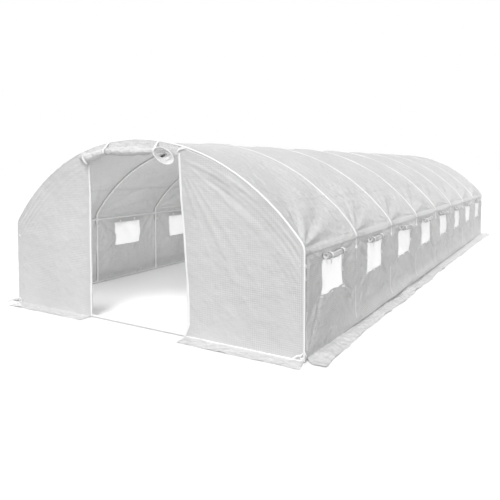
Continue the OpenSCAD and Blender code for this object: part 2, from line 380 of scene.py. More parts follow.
@dataclass(frozen=True)
class PolyesterWebbing:
    """Polyester webbing, woven narrow in a twill and bleached.

    It is the whitest thing on the tunnel, dull, with fine slanting ribs.
    """

    name: str = "polyester_webbing_twill_woven"
    hollow: str = "F0F0F0"
    rib: str = "FBFBFB"
    # Real ribs are 1.5 mm apart, drawn at 5 mm so that they show near to.
    rib_mm: float = 5.0
    rib_height: float = 0.001
    roughness: float = 0.82
    sheen: float = 0.25
    ior: float = 1.5

    def material(self) -> Material:
        """Builds the shader.

        Returns:
            The finished material.
        """
        made, tree, out = start_material(self.name)
        flat = add_node(tree, "UVMap", {"uv_map": FLAT_UV}).outputs["UV"]
        ribs = add_node(
            tree,
            "TexWave",
            {"bands_direction": "DIAGONAL", "Scale": band_scale(self.rib_mm) / 2, "Distortion": 0.4},
            {"Vector": flat},
        )
        colour = add_node(
            tree,
            "Mix",
            {"data_type": "RGBA", 6: linear(self.hollow), 7: linear(self.rib)},
            {0: ribs.outputs["Fac"]},
        ).outputs[2]
        raised = add_node(
            tree,
            "Bump",
            {"Strength": 0.5, "Distance": self.rib_height},
            {"Height": ribs.outputs["Fac"]},
        )
        face = add_node(
            tree,
            "BsdfPrincipled",
            {"Roughness": self.roughness, "IOR": self.ior, "Sheen Weight": self.sheen},
            {"Base Color": colour, "Normal": raised.outputs[0]},
        )
        tree.links.new(face.outputs[0], out.inputs[0])
        return made


@dataclass(frozen=True)
class InsectNet:
    """Polyethylene insect net, leno woven from white thread.

    It reads as a bright white haze that is a little open between the threads.
    """

    name: str = "polyethylene_net_leno_woven"
    colour: str = "FCFCFC"
    # The real mesh is 1.5 mm, drawn at 9 mm so that it shows at all.
    mesh_mm: float = 9.0
    thread_height: float = 0.001
    open_share: float = 0.08
    light_through: float = 0.35
    roughness: float = 0.38
    # Polyethylene has 1.5. Crossed threads throw back more light than one smooth face, so it is raised.
    ior: float = 2.2
    sheen: float = 0.3

    def material(self) -> Material:
        """Builds the shader.

        Returns:
            The finished material.
        """
        made, tree, out = start_material(self.name)
        grid = thread_grid(tree, self.mesh_mm)
        closed = add_node(
            tree,
            "MapRange",
            {"From Min": 0.3, "From Max": 0.7, "To Min": 1 - self.open_share * 2, "To Max": 1.0},
            {"Value": grid},
        )
        raised = add_node(tree, "Bump", {"Strength": 0.4, "Distance": self.thread_height}, {"Height": grid})
        face = add_node(
            tree,
            "BsdfPrincipled",
            {
                "Base Color": linear(self.colour),
                "Roughness": self.roughness,
                "IOR": self.ior,
                "Specular IOR Level": 1.0,
                "Sheen Weight": self.sheen,
            },
            {"Alpha": closed.outputs[0], "Normal": raised.outputs[0]},
        )
        glow = add_node(tree, "BsdfTranslucent", {"Color": linear(self.colour)})
        both = add_node(tree, "MixShader", {0: self.light_through}, {1: face.outputs[0], 2: glow.outputs[0]})
        tree.links.new(both.outputs[0], out.inputs[0])
        return made


@dataclass(frozen=True)
class CoatedSurface:
    """A hard pale surface with a fine texture, for coated steel and for moulded plastic."""

    name: str
    colour: str
    shade: str
    grain_mm: float
    grain_height: float
    roughness: Pair
    # Coats and mouldings flow unevenly over about this length, which tints them and turns their gloss.
    flow_mm: float = 142.857
    ior: float = 1.5

    def material(self) -> Material:
        """Builds the shader.

        Returns:
            The finished material.
        """
        made, tree, out = start_material(self.name)
        place = add_node(tree, "TexCoord").outputs["Object"]
        grain = add_node(tree, "TexNoise", {"Scale": 1000 / self.grain_mm, "Detail": 2.0}, {"Vector": place})
        film = add_node(tree, "TexNoise", {"Scale": 1000 / self.flow_mm, "Detail": 5.0}, {"Vector": place})
        colour = add_node(
            tree,
            "Mix",
            {"data_type": "RGBA", 6: linear(self.shade), 7: linear(self.colour)},
            {0: film.outputs["Fac"]},
        ).outputs[2]
        gloss = add_node(
            tree,
            "MapRange",
            {"To Min": self.roughness[0], "To Max": self.roughness[1]},
            {"Value": film.outputs["Fac"]},
        )
        raised = add_node(
            tree,
            "Bump",
            {"Strength": 0.3, "Distance": self.grain_height},
            {"Height": grain.outputs["Fac"]},
        )
        face = add_node(
            tree,
            "BsdfPrincipled",
            {"IOR": self.ior},
            {"Base Color": colour, "Roughness": gloss.outputs[0], "Normal": raised.outputs[0]},
        )
        tree.links.new(face.outputs[0], out.inputs[0])
        return made


# Many turns of the same cloth, over a door: no light is lost through them, so they are whiter. On the band
# above the door the same whiter cloth is painted light, which lifts the shade that the rolled door casts
# there.
LAYERED_AND_LIGHTENED_POLYETHYLENE = WovenPolyethylene(
    name="woven_polyethylene_in_layers", film="D8D8D8", thread="ECECEC", light_through=0.04
)
# The same cloth laced tight across an end: its grid shows more than its creases.
TIGHT_POLYETHYLENE = WovenPolyethylene(
    name="woven_polyethylene_laced_tight", crease_mm=260.0, crinkle_mm=90.0, crease_height=0.013
)
# The same cloth trodden and rumpled on the ground, with short hard creases.
TRODDEN_POLYETHYLENE = WovenPolyethylene(
    name="woven_polyethylene_trodden",
    film="D6D6D6",
    thread="EAEAEA",
    light_through=0.04,
    crease_mm=110.0,
    crinkle_mm=50.0,
    crease_height=0.030,
)
# A darker grey copy of the cloth, for strips down the corner posts: painted shade for the shadow that falls
# beside the end hems.
PAINTED_CORNER_SHADE_POLYETHYLENE = WovenPolyethylene(name="woven_polyethylene_welded", film="B2B2B2", thread="BABABA")
# Steel tube dipped in zinc and sprayed with polyester powder, baked: white, half gloss, with orange peel.
POWDER_COATED_STEEL = CoatedSurface(
    "steel_tube_powder_coated", "F7F7F7", "ECECEC", grain_mm=4.0, grain_height=0.0004, roughness=(0.28, 0.45)
)
# Polypropylene from a spark-eroded mould: white, dull, with a fine even grain.
MOULDED_POLYPROPYLENE = CoatedSurface(
    "polypropylene_moulded", "F7F7F6", "EDEDEC", grain_mm=1.5, grain_height=0.0003, roughness=(0.45, 0.6)
)


@dataclass(frozen=True)
class Finishes:
    """One material of each finish, shared by all pieces."""

    cover: Material = field(default_factory=lambda: WovenPolyethylene().material())
    # Whiter cloth for the rolled doors, and painted light on the band over each door.
    layers: Material = field(default_factory=LAYERED_AND_LIGHTENED_POLYETHYLENE.material)
    tight: Material = field(default_factory=TIGHT_POLYETHYLENE.material)
    trodden: Material = field(default_factory=TRODDEN_POLYETHYLENE.material)
    # A darker copy of the cover, which paints the shade beside the corner hems.
    weld: Material = field(default_factory=PAINTED_CORNER_SHADE_POLYETHYLENE.material)
    tape: Material = field(default_factory=lambda: PolyesterWebbing().material())
    net: Material = field(default_factory=lambda: InsectNet().material())
    tube: Material = field(default_factory=POWDER_COATED_STEEL.material)
    fitting: Material = field(default_factory=MOULDED_POLYPROPYLENE.material)


class ClothMesh:
    """Gathers strips and sheets of cloth into one smooth mesh with its flat cut in metres as UV."""

    def __init__(self) -> None:
        """Starts with no cloth."""
        self.points: list[Grid] = []
        self.flats: list[Grid] = []
        self.faces: list[Grid] = []
        self.count = 0

    def add(self, points: Grid, flat: Grid, keep: Grid | None = None) -> None:
        """Adds one sheet.

        Args:
            points: rows by columns by three places.
            flat: rows by columns by two, the place on the flat cut, in metres.
            keep: one flag for each quad, false where the sheet is cut out.
        """
        rows, cols = points.shape[:2]
        number = np.arange(rows * cols).reshape(rows, cols) + self.count
        quads = np.stack([number[:-1, :-1], number[:-1, 1:], number[1:, 1:], number[1:, :-1]], axis=-1)
        self.faces.append(quads.reshape(-1, 4) if keep is None else quads[keep])
        self.points.append(points.reshape(-1, 3))
        self.flats.append(flat.reshape(-1, 2))
        self.count += rows * cols

    def piece(self, name: str, material: Material, slot: str) -> Object:
        """Makes the object.

        Args:
            name: the piece's name.
            material: its finish.
            slot: not used.

        Returns:
            The object, riding on the tunnel's body.
        """
        points, flats = np.concatenate(self.points), np.concatenate(self.flats)
        faces = np.concatenate(self.faces)
        used = np.unique(faces)
        renumber = np.zeros(len(points), int)
        renumber[used] = np.arange(len(used))
        faces = renumber[faces]
        mesh = bpy.data.meshes.new(name)
        mesh.from_pydata(points[used].tolist(), [], faces.tolist())
        layer = mesh.uv_layers.new(name=FLAT_UV)
        layer.data.foreach_set("uv", flats[used][faces.ravel()].astype(np.float32).ravel())
        mesh.polygons.foreach_set("use_smooth", np.ones(len(faces), bool))
        mesh.materials.append(material)
        mesh.update()
        made = bpy.data.objects.new(name, mesh)
        bpy.context.scene.collection.objects.link(made)
        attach(made, BODY)
        LOG.info("%s: %d faces", name, len(faces))
        return made


@dataclass(frozen=True)
class Section:
    """The cover's line across the tunnel, from the foot of one wall to the ridge."""

    # The tubes' middle lines, and how far outside them the cover lies.
    post_x: float = 1.9875
    post_h: float = 0.975
    ridge_z: float = 1.9875
    shoulder_r: float = 0.12
    skin: float = 0.0173

    @property
    def arch_r(self) -> float:
        """Radius of the roof tubes, which meet the shoulder bends smoothly."""
        wide, rise = self.post_x - self.shoulder_r, self.ridge_z - self.post_h
        return (wide**2 + rise**2 - self.shoulder_r**2) / (2 * (rise - self.shoulder_r))

    @property
    def arch_a(self) -> float:
        """Angle of the roof arc from the ridge to a shoulder bend."""
        low = self.post_h - self.ridge_z + self.arch_r
        return math.atan2(self.post_x - self.shoulder_r, low)

    @property
    def bend_len(self) -> float:
        """Length of the cover round the shoulder."""
        return (self.shoulder_r + self.skin) * (math.pi / 2 - self.arch_a)

    @property
    def roof_s(self) -> float:
        """Where the roof's long arc starts, along the line."""
        return self.post_h + self.bend_len

    @property
    def total(self) -> float:
        """Length of the line from the ground to the ridge."""
        return self.roof_s + (self.arch_r + self.skin) * self.arch_a

    def locate(self, s: Grid) -> tuple[Grid, Grid, Grid, Grid]:
        """Finds places on the line.

        Args:
            s: distances from the ground.

        Returns:
            X, Z and the outward direction's X and Z.
        """
        bend = np.clip((s - self.post_h) / (self.shoulder_r + self.skin), 0, math.pi / 2 - self.arch_a)
        lean = self.arch_a - (s - self.roof_s) / (self.arch_r + self.skin)
        bend_x = self.post_x - self.shoulder_r
        low, roof = s <= self.roof_s, s > self.roof_s
        nx = np.where(roof, np.sin(lean), np.cos(bend))
        nz = np.where(roof, np.cos(lean), np.sin(bend))
        x = np.where(low, bend_x + (self.shoulder_r + self.skin) * nx, (self.arch_r + self.skin) * nx)
        z = np.where(
            low,
            np.minimum(s, self.post_h) + (self.shoulder_r + self.skin) * nz,
            self.ridge_z - self.arch_r + (self.arch_r + self.skin) * nz,
        )
        return x, z, nx, nz

    def top(self, x: Grid) -> Grid:
        """Gives the cover's height.

        Args:
            x: places across the tunnel.

        Returns:
            Heights of the cover there.
        """
        x = np.abs(x)
        arc = self.arch_r + self.skin
        bend = self.shoulder_r + self.skin
        roof = self.ridge_z - self.arch_r + np.sqrt(np.maximum(arc**2 - x**2, 0))
        out = x - (self.post_x - self.shoulder_r)
        shoulder = self.post_h + np.sqrt(np.maximum(bend**2 - np.clip(out, 0, bend) ** 2, 0))
        return np.where(x < arc * math.sin(self.arch_a), roof, shoulder)


@dataclass(frozen=True)
class SideCover:
    """One half of the cover: a wall with its windows, the eave and the roof up to the ridge, in one sheet."""

    side: Side
    finishes: Finishes
    section: Section = Section()
    bay: float = 1.25
    bays: int = 8
    end_y: float = 5.0173
    foot_z: float = 0.012
    window_w: float = 0.52
    window_low: float = 0.515
    window_top: float = 0.853
    purlin_s: float = 0.945
    seam_s: float = 1.54
    # Places along the line above the purlin, and how far inside the bend the straight cover runs there.
    chord_s: Row = (0.945, 0.975, 1.02, 1.068, 1.2, 1.35)
    chord_in: Row = (0.0, 0.020, 0.040, 0.038, 0.023, 0.0)
    roof_sag: float = 0.026
    wall_sag: float = 0.008
    # The bays sag more or less than each other by this share.
    uneven: float = 0.3
    foot_flare: float = 0.055
    foot_lift: float = 0.062
    flare_s: float = 0.21
    # Where the wall's foot is loosest, along the tunnel, and its least share elsewhere.
    slack_run: Pair = (-2.8, 0.3)
    slack_least: float = 0.38
    fold: float = 0.020
    # Folds that fan from each shoulder, in degrees from the level: short fine ones up the roof, long ones
    # with their width in degrees and their share of the full depth, and short ones down the wall.
    fine_folds: Row = (10, 19, 28, 37, 46, 55, 64, 74)
    fine_w: Pair = (2.4, 4.6)
    fine_len: Pair = (0.14, 0.34)
    long_folds: tuple[Triple, ...] = (
        (1, 5, 0.5),
        (12, 5.5, -0.7),
        (24, 6, 0.9),
        (37, 7, -0.7),
        (54, 7, 0.4),
    )
    long_len: Pair = (0.32, 0.42)
    before_hoop: float = 0.4
    wall_folds: Row = (-22, -42, -62)
    wall_fold_w: float = 5
    wall_fold_len: float = 0.2
    # Depths and widths of the lines pulled from the windows' corners.
    line_d: Pair = (0.008, 0.019)
    line_w: Pair = (0.014, 0.024)
    # How near to a hoop the cover is held to it.
    held_w: float = 0.07
    # Rumples everywhere, pleats that hang by the posts, and rumples of the wall behind the first bay.
    slow: Ripple = Ripple(0.010, 0.38, 0.33)
    quick: Ripple = Ripple(0.0080, 0.13, 0.16, slant=0.4)
    pleats: Ripple = Ripple(0.007, 0.055, 0.30)
    pleat_reach: float = 0.16
    hung: Ripple = Ripple(0.008, 0.19, 0.11, slant=0.25)
    hung_from: float = 0.9
    # How far the windows' cut edges wander, along the wall and up it.
    wander: Pair = (0.013, 0.011)
    lap: float = 0.008
    # Places along the line of the creases that the sheet keeps from its pack, and how deep they are.
    packing: Pairs = (
        (1.31, 0.005),
        (1.43, -0.006),
        (1.54, 0.006),
        (1.70, 0.005),
        (1.96, -0.005),
        (2.36, 0.005),
    )
    packing_w: float = 0.024
    tape_w: float = 0.050
    tape_low: float = 0.87
    # The tape on each post: its low end, its high end and its width, and its place beside a corner.
    post_tape: Triple = (0.09, 0.44, 0.018)
    corner_tape: float = 0.058
    tape_lift: float = 0.0018
    # Grey strips of painted shade beside the corner hems: their width, how far in from the ends, and their
    # lift.
    shade_strip_w: float = 0.024
    shade_strip_in: float = 0.031
    shade_strip_lift: float = 0.0012
    # The lap along the roof and half of the lap over the ridge, as offsets and lifts across them.
    seam_w: float = 0.022
    seam_lift: Row = (0.0004, 0.0014, 0.0017, 0.0014, 0.0004)
    ridge_lap: Triple = (0.024, 0.012, 0.0)
    ridge_lift: Triple = (0.0006, 0.0018, 0.0020)

    @property
    def seed(self) -> int:
        """Starts this side's run of random patterns."""
        return 100 if self.side is Side.RIGHT else 300

    @property
    def pulled(self) -> float:
        """Gives how hard the windows' edges are pulled, less on the calmer left side."""
        return 1.0 if self.side is Side.RIGHT else 0.35

    @property
    def shoulder_s(self) -> float:
        """Gives the middle of the shoulder bend, along the line."""
        return self.section.post_h + self.section.bend_len / 2

    def hoop_y(self, number: int) -> float:
        """Gives a hoop's place along the tunnel, counted from 0."""
        return (number - self.bays / 2) * self.bay

    def window_y(self, number: int) -> float:
        """Gives the middle of a bay, counted from 0."""
        return self.hoop_y(number) + self.bay / 2

    def fan(self, s: Grid, y: Grid) -> Grid:
        """Gives the folds that spread from each hoop's shoulder, up the roof and down the wall.

        Args:
            s: distances from the ground, as a column.
            y: places along the tunnel, as a row.

        Returns:
            Depth of the folds.
        """
        depth = np.zeros(np.broadcast(s, y).shape)
        for number in range(self.bays + 1):
            chance = np.random.default_rng(self.seed + number)
            far_y, far_s = y - self.hoop_y(number), s - self.shoulder_s
            reach = np.hypot(far_y, far_s)
            lean = np.degrees(np.arctan2(far_s, np.abs(far_y)))
            for hand in (-1, 1):
                here = smooth(hand * far_y / 0.03)
                for middle in self.fine_folds:
                    at = middle + chance.uniform(-4, 4)
                    width = chance.uniform(*self.fine_w)
                    size = 0.5 * self.fold * chance.uniform(-1.2, 1.3)
                    length = chance.uniform(*self.fine_len)
                    depth += here * size * swell(reach, length) * hump(lean - at, width)
                # The long folds are full behind each hoop and slighter before it.
                share = 1.0 if hand > 0 else self.before_hoop
                for middle, width, size in self.long_folds:
                    at, length = middle + chance.uniform(-1.5, 1.5), chance.uniform(*self.long_len)
                    size = size * self.fold * chance.uniform(0.8, 1.15) * share
                    depth += here * size * swell(reach, length) * hump(lean - at, width)
                for middle in self.wall_folds:
                    at = middle + chance.uniform(-8, 8)
                    size = 0.7 * self.fold * chance.uniform(-1.1, 1.2)
                    run = swell(reach, self.wall_fold_len)
                    depth += here * size * run * hump(lean - at, self.wall_fold_w)
        return depth

    def creases(self, s: Grid, y: Grid) -> Grid:
        """Gives the pulled lines that run from the windows' corners to the posts.

        Args:
            s: distances from the ground, as a column.
            y: places along the tunnel, as a row.

        Returns:
            Depth of the creases.
        """
        depth = np.zeros(np.broadcast(s, y).shape)
        for number in range(self.bays):
            chance = np.random.default_rng(self.seed + 50 + number)
            middle = self.window_y(number)
            for hand in (-1, 1):
                for from_s, to_s in (
                    (self.window_top, self.purlin_s - 0.02),
                    (0.68, 0.88),
                    (self.window_low, 0.12),
                    (self.window_low + 0.05, 0.36),
                    (self.window_low, 0.30),
                ):
                    start = np.array([middle + hand * self.window_w / 2, from_s])
                    stop_y = middle + hand * chance.uniform(0.48, 0.60)
                    stop = np.array([stop_y, to_s + chance.uniform(-0.05, 0.05)])
                    along = (stop - start) / np.linalg.norm(stop - start)
                    length = np.linalg.norm(stop - start)
                    run = ((y - start[0]) * along[0] + (s - start[1]) * along[1]) / length
                    off = -(y - start[0]) * along[1] + (s - start[1]) * along[0]
                    size = self.pulled * chance.choice((-1, 1)) * chance.uniform(*self.line_d)
                    swelled = np.clip(run * (1 - run) * 4, 0, None)
                    depth += size * swelled * hump(off, chance.uniform(*self.line_w))
        return depth

    def slack(self, y: Grid) -> Grid:
        """Gives how loose the wall's foot is, most so in the third and fourth bays.

        Args:
            y: places along the tunnel.

        Returns:
            Shares of the full looseness.
        """
        most = smooth((y - self.slack_run[0]) / 0.5) * smooth((self.slack_run[1] - y) / 0.9)
        share = self.slack_least + (1 - self.slack_least) * most
        return share * smooth((y + 4.3) / 0.7) * smooth((4.8 - y) / 1.5)

    def inward(self, s: Grid, y: Grid) -> Grid:
        """Gives how far the cover hangs in from the line that the hoops hold.

        Args:
            s: distances from the ground, as a column.
            y: places along the tunnel, as a row.

        Returns:
            The inward shift.
        """
        bay = (y + self.end_y - self.section.skin) / self.bay
        number = np.floor(np.clip(bay, 0, self.bays - 1e-6))
        place = np.clip(bay - number, 0, 1)
        from_hoop = np.minimum(place, 1 - place) * self.bay
        belly = 1 - (2 * place - 1) ** 2
        held = smooth(from_hoop / self.held_w)
        wall = self.wall_sag * np.sin(np.pi * np.clip(s / self.purlin_s, 0, 1))
        # Between hoops the cover runs straight up from the purlin, inside the shoulder's bend.
        chord = np.interp(s, self.chord_s, self.chord_in) * (1 - np.abs(2 * place - 1) ** 3.5)
        roof = chord + self.roof_sag * smooth((s - self.purlin_s) / 0.5) * (1 - np.abs(2 * place - 1) ** 3)
        sag = np.where(s < self.purlin_s, wall * belly, roof)
        uneven = 1 + self.uneven * waves(number, 0 * number + 0.5, self.seed + 21)
        slow = self.slow.at(y, s, self.seed + 22)
        quick = self.quick.at(y, s, self.seed + 23)
        on_wall = smooth((self.purlin_s - s) / 0.1)
        by_post = on_wall * hump(from_hoop, self.pleat_reach)
        quick = quick + by_post * self.pleats.at(y, s, self.seed + 25)
        hung = on_wall * smooth((y + self.end_y - self.hung_from) / 0.8)
        quick = quick + hung * self.hung.at(y, s, self.seed + 28)
        foot = smooth((s - 0.02) / 0.08)
        # The foot of the wall flares out over the flap where the cover is slack.
        loose_foot = self.slack(y) * (0.85 + 0.3 * waves(y / 0.5, 0 * y, self.seed + 24))
        flare = self.foot_flare * loose_foot * smooth((self.flare_s - s) / 0.17) ** 1.5
        ridge = smooth((self.section.total - s) / 0.12)
        purlin = 1 - 0.85 * hump(s - self.purlin_s, 0.03)
        # Where the sheet lay folded in its pack, creases run along the roof.
        for count, (at, size) in enumerate(self.packing):
            line = at + 0.02 * waves(y / 1.1, 0 * y + count, self.seed + 26)
            shown = 0.5 + 0.5 * waves(y / 0.45, 0 * y + count, self.seed + 27)
            quick = quick + size * hump(s - line, self.packing_w) * shown
        loose = (self.fan(s, y) + self.creases(s, y) + slow + quick) * purlin
        # The roof's sheet laps over the wall's, with a step along the purlin.
        lap = self.lap * smooth((s - self.purlin_s) / 0.010) * smooth((self.purlin_s + 0.09 - s) / 0.07)
        return foot * (sag * uneven + held * loose * (0.35 + 0.65 * ridge)) - flare - lap

    def surface(self, s: Grid, y: Grid, lift: Grid | float = 0.0) -> Grid:
        """Finds places on the hanging cover.

        Args:
            s: distances from the ground, as a column.
            y: places along the tunnel, as a row.
            lift: height above the cover.

        Returns:
            Rows by columns by three places.
        """
        s, y = np.broadcast_arrays(s, y)
        x, z, nx, nz = self.section.locate(s)
        out = lift - self.inward(s, y)
        return np.stack([self.side.value * (x + out * nx), y, z + out * nz], axis=-1)

    def rows(self) -> Grid:
        """Gives the sheet's rows, closer at the shoulder, with the windows' edges among them."""
        roof = self.section.roof_s
        runs = [
            np.linspace(self.foot_z, self.window_low, 30),
            np.linspace(self.window_low, self.window_top, 20),
            np.linspace(self.window_top, self.purlin_s, 9),
            self.purlin_s + np.array([0.004, 0.008, 0.012]),
            np.linspace(self.purlin_s + 0.02, roof, 10),
            np.linspace(roof, roof + 0.6, 36),
            np.linspace(roof + 0.6, self.section.total, 52),
        ]
        return np.unique(np.concatenate(runs).round(6))

    def columns(self) -> Grid:
        """Gives the sheet's columns, closer at the hoops, with the windows' edges among them."""
        near = np.array([0.0, 0.006, 0.013, 0.022, 0.036, 0.056])
        edge = (self.bay - self.window_w) / 2
        half = np.concatenate([near, np.linspace(0.075, edge, 15)])
        bay = np.concatenate([half, np.linspace(edge, self.bay - edge, 25), self.bay - half])
        every = [self.hoop_y(number) + bay for number in range(self.bays)]
        return np.unique(np.concatenate([*every, [-self.end_y, self.end_y]]).round(6))

    def cut_edges(self, s: Grid, y: Grid) -> tuple[Grid, Grid]:
        """Lets the windows' cut edges wander as pulled cloth does, and lifts the wall's loose foot.

        Args:
            s: distances from the ground, as a column.
            y: places along the tunnel, as a row.

        Returns:
            The two shifted, as full grids.
        """
        s, y = (grid.copy() for grid in np.broadcast_arrays(s, y))
        half, mid_s = self.window_w / 2, (self.window_low + self.window_top) / 2
        tall = (self.window_top - self.window_low) / 2
        shift_s, shift_y = np.zeros_like(s), np.zeros_like(y)
        for number in range(self.bays):
            side_y, up_s = np.abs(y - self.window_y(number)), np.abs(s - mid_s)
            near = hump(side_y - half, 0.035) * smooth((tall + 0.05 - up_s) / 0.05)
            wander = waves(s / 0.080, np.sign(y - self.window_y(number)) + number, self.seed + 31)
            shift_y += self.pulled * near * self.wander[0] * wander
            near = hump(up_s - tall, 0.030) * smooth((half + 0.05 - side_y) / 0.05)
            wander = waves(y / 0.09, np.sign(s - mid_s) + number, self.seed + 32)
            shift_s += self.pulled * near * self.wander[1] * wander
        loose = self.foot_lift * self.slack(y) * (0.85 + 0.25 * waves(y / 0.4, 0 * y, self.seed + 33))
        shift_s += loose * smooth((0.20 - s) / 0.20)
        return s + shift_s, y + shift_y

    def sheet(self) -> Object:
        """Builds the half cover.

        Returns:
            The sheet, which stands for the CAD's wall, eave and roof covers.
        """
        s, y = self.rows(), self.columns()
        points = self.surface(*self.cut_edges(s[:, None], y[None, :]))
        flat = join(y[None, :], s[:, None])
        mid_s, mid_y = (s[1:] + s[:-1]) / 2, (y[1:] + y[:-1]) / 2
        middles = np.array([self.window_y(number) for number in range(self.bays)])
        across = np.abs(mid_y[:, None] - middles[None, :]).min(axis=1) < self.window_w / 2
        up = (mid_s > self.window_low) & (mid_s < self.window_top)
        cloth = ClothMesh()
        cloth.add(points, flat, ~(up[:, None] & across[None, :]))
        name = self.side.name.lower()
        made = cloth.piece(f"{name}_cover", self.finishes.cover, "cover")
        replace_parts(made, f"{name}_wall_cover", f"{name}_eave_cover", f"{name}_roof_cover")
        return made

    def tapes(self) -> Object:
        """Builds the white tapes welded over the hoops and down the posts.

        Returns:
            The tapes of this side.
        """
        cloth = ClothMesh()
        over_hoop = (self.tape_low, self.section.total, self.tape_w, 96)
        on_post = (*self.post_tape, 20)
        hoops = [self.hoop_y(number) for number in range(1, self.bays)]
        runs = [(middle, shape) for middle in hoops for shape in (over_hoop, on_post)]
        runs += [(hand * (self.end_y - self.corner_tape), on_post) for hand in (-1, 1)]
        for middle, (low, high, width, steps) in runs:
            s = np.linspace(low, high, steps)[:, None]
            across = np.linspace(-width / 2, width / 2, 5)[None, :]
            lift = self.tape_lift * (1 - 0.5 * (np.abs(across) > width * 0.4))
            points = self.surface(s, middle + across, lift)
            cloth.add(points, join(across, s))
        return cloth.piece(f"{self.side.name.lower()}_hoop_tapes", self.finishes.tape, "tape")

    def seams(self) -> Object:
        """Builds the welded lap along the roof, and the lap over the ridge on the right half.

        Returns:
            The laps of this side.
        """
        cloth = ClothMesh()
        y = self.columns()[None, :]
        lift = np.array(self.seam_lift)[:, None]
        s = self.seam_s + np.linspace(-self.seam_w / 2, self.seam_w / 2, len(lift))[:, None]
        cloth.add(self.surface(s, y, lift), join(y, s))
        if self.side is Side.RIGHT:
            off, lift = np.array(self.ridge_lap)[:, None], np.array(self.ridge_lift)[:, None]
            s = self.section.total - off
            half = self.surface(s, y, lift)
            other = SideCover(Side.LEFT, self.finishes).surface(s[:2], y, lift[:2])
            flat_s = np.concatenate([-off, off[1::-1]])
            points = np.concatenate([half, other[::-1]])
            cloth.add(points, join(y, flat_s))
        return cloth.piece(f"{self.side.name.lower()}_cover_laps", self.finishes.cover, "cover")

    def corner_shade_strips(self) -> Object:
        """Builds the narrow grey strips down the corner posts, where this sheet meets the sheets of the ends:
        painted shade for the shadow beside the end hems.

        Returns:
            The painted shade strips of this side.
        """
        cloth = ClothMesh()
        s = np.linspace(0.05, self.purlin_s - 0.01, 40)[:, None]
        across = np.linspace(-self.shade_strip_w / 2, self.shade_strip_w / 2, 4)[None, :]
        for hand in (-1, 1):
            points = self.surface(s, hand * (self.end_y - self.shade_strip_in) + across, self.shade_strip_lift)
            cloth.add(points, join(across, s))
        return cloth.piece(f"{self.side.name.lower()}_corner_shade_strips", self.finishes.weld, "cover")

    def build(self) -> None:
        """Builds the half cover with its tapes, laps and strips of painted corner shade."""
        made = self.sheet()
        pieces = [self.tapes(), self.seams(), self.corner_shade_strips()]


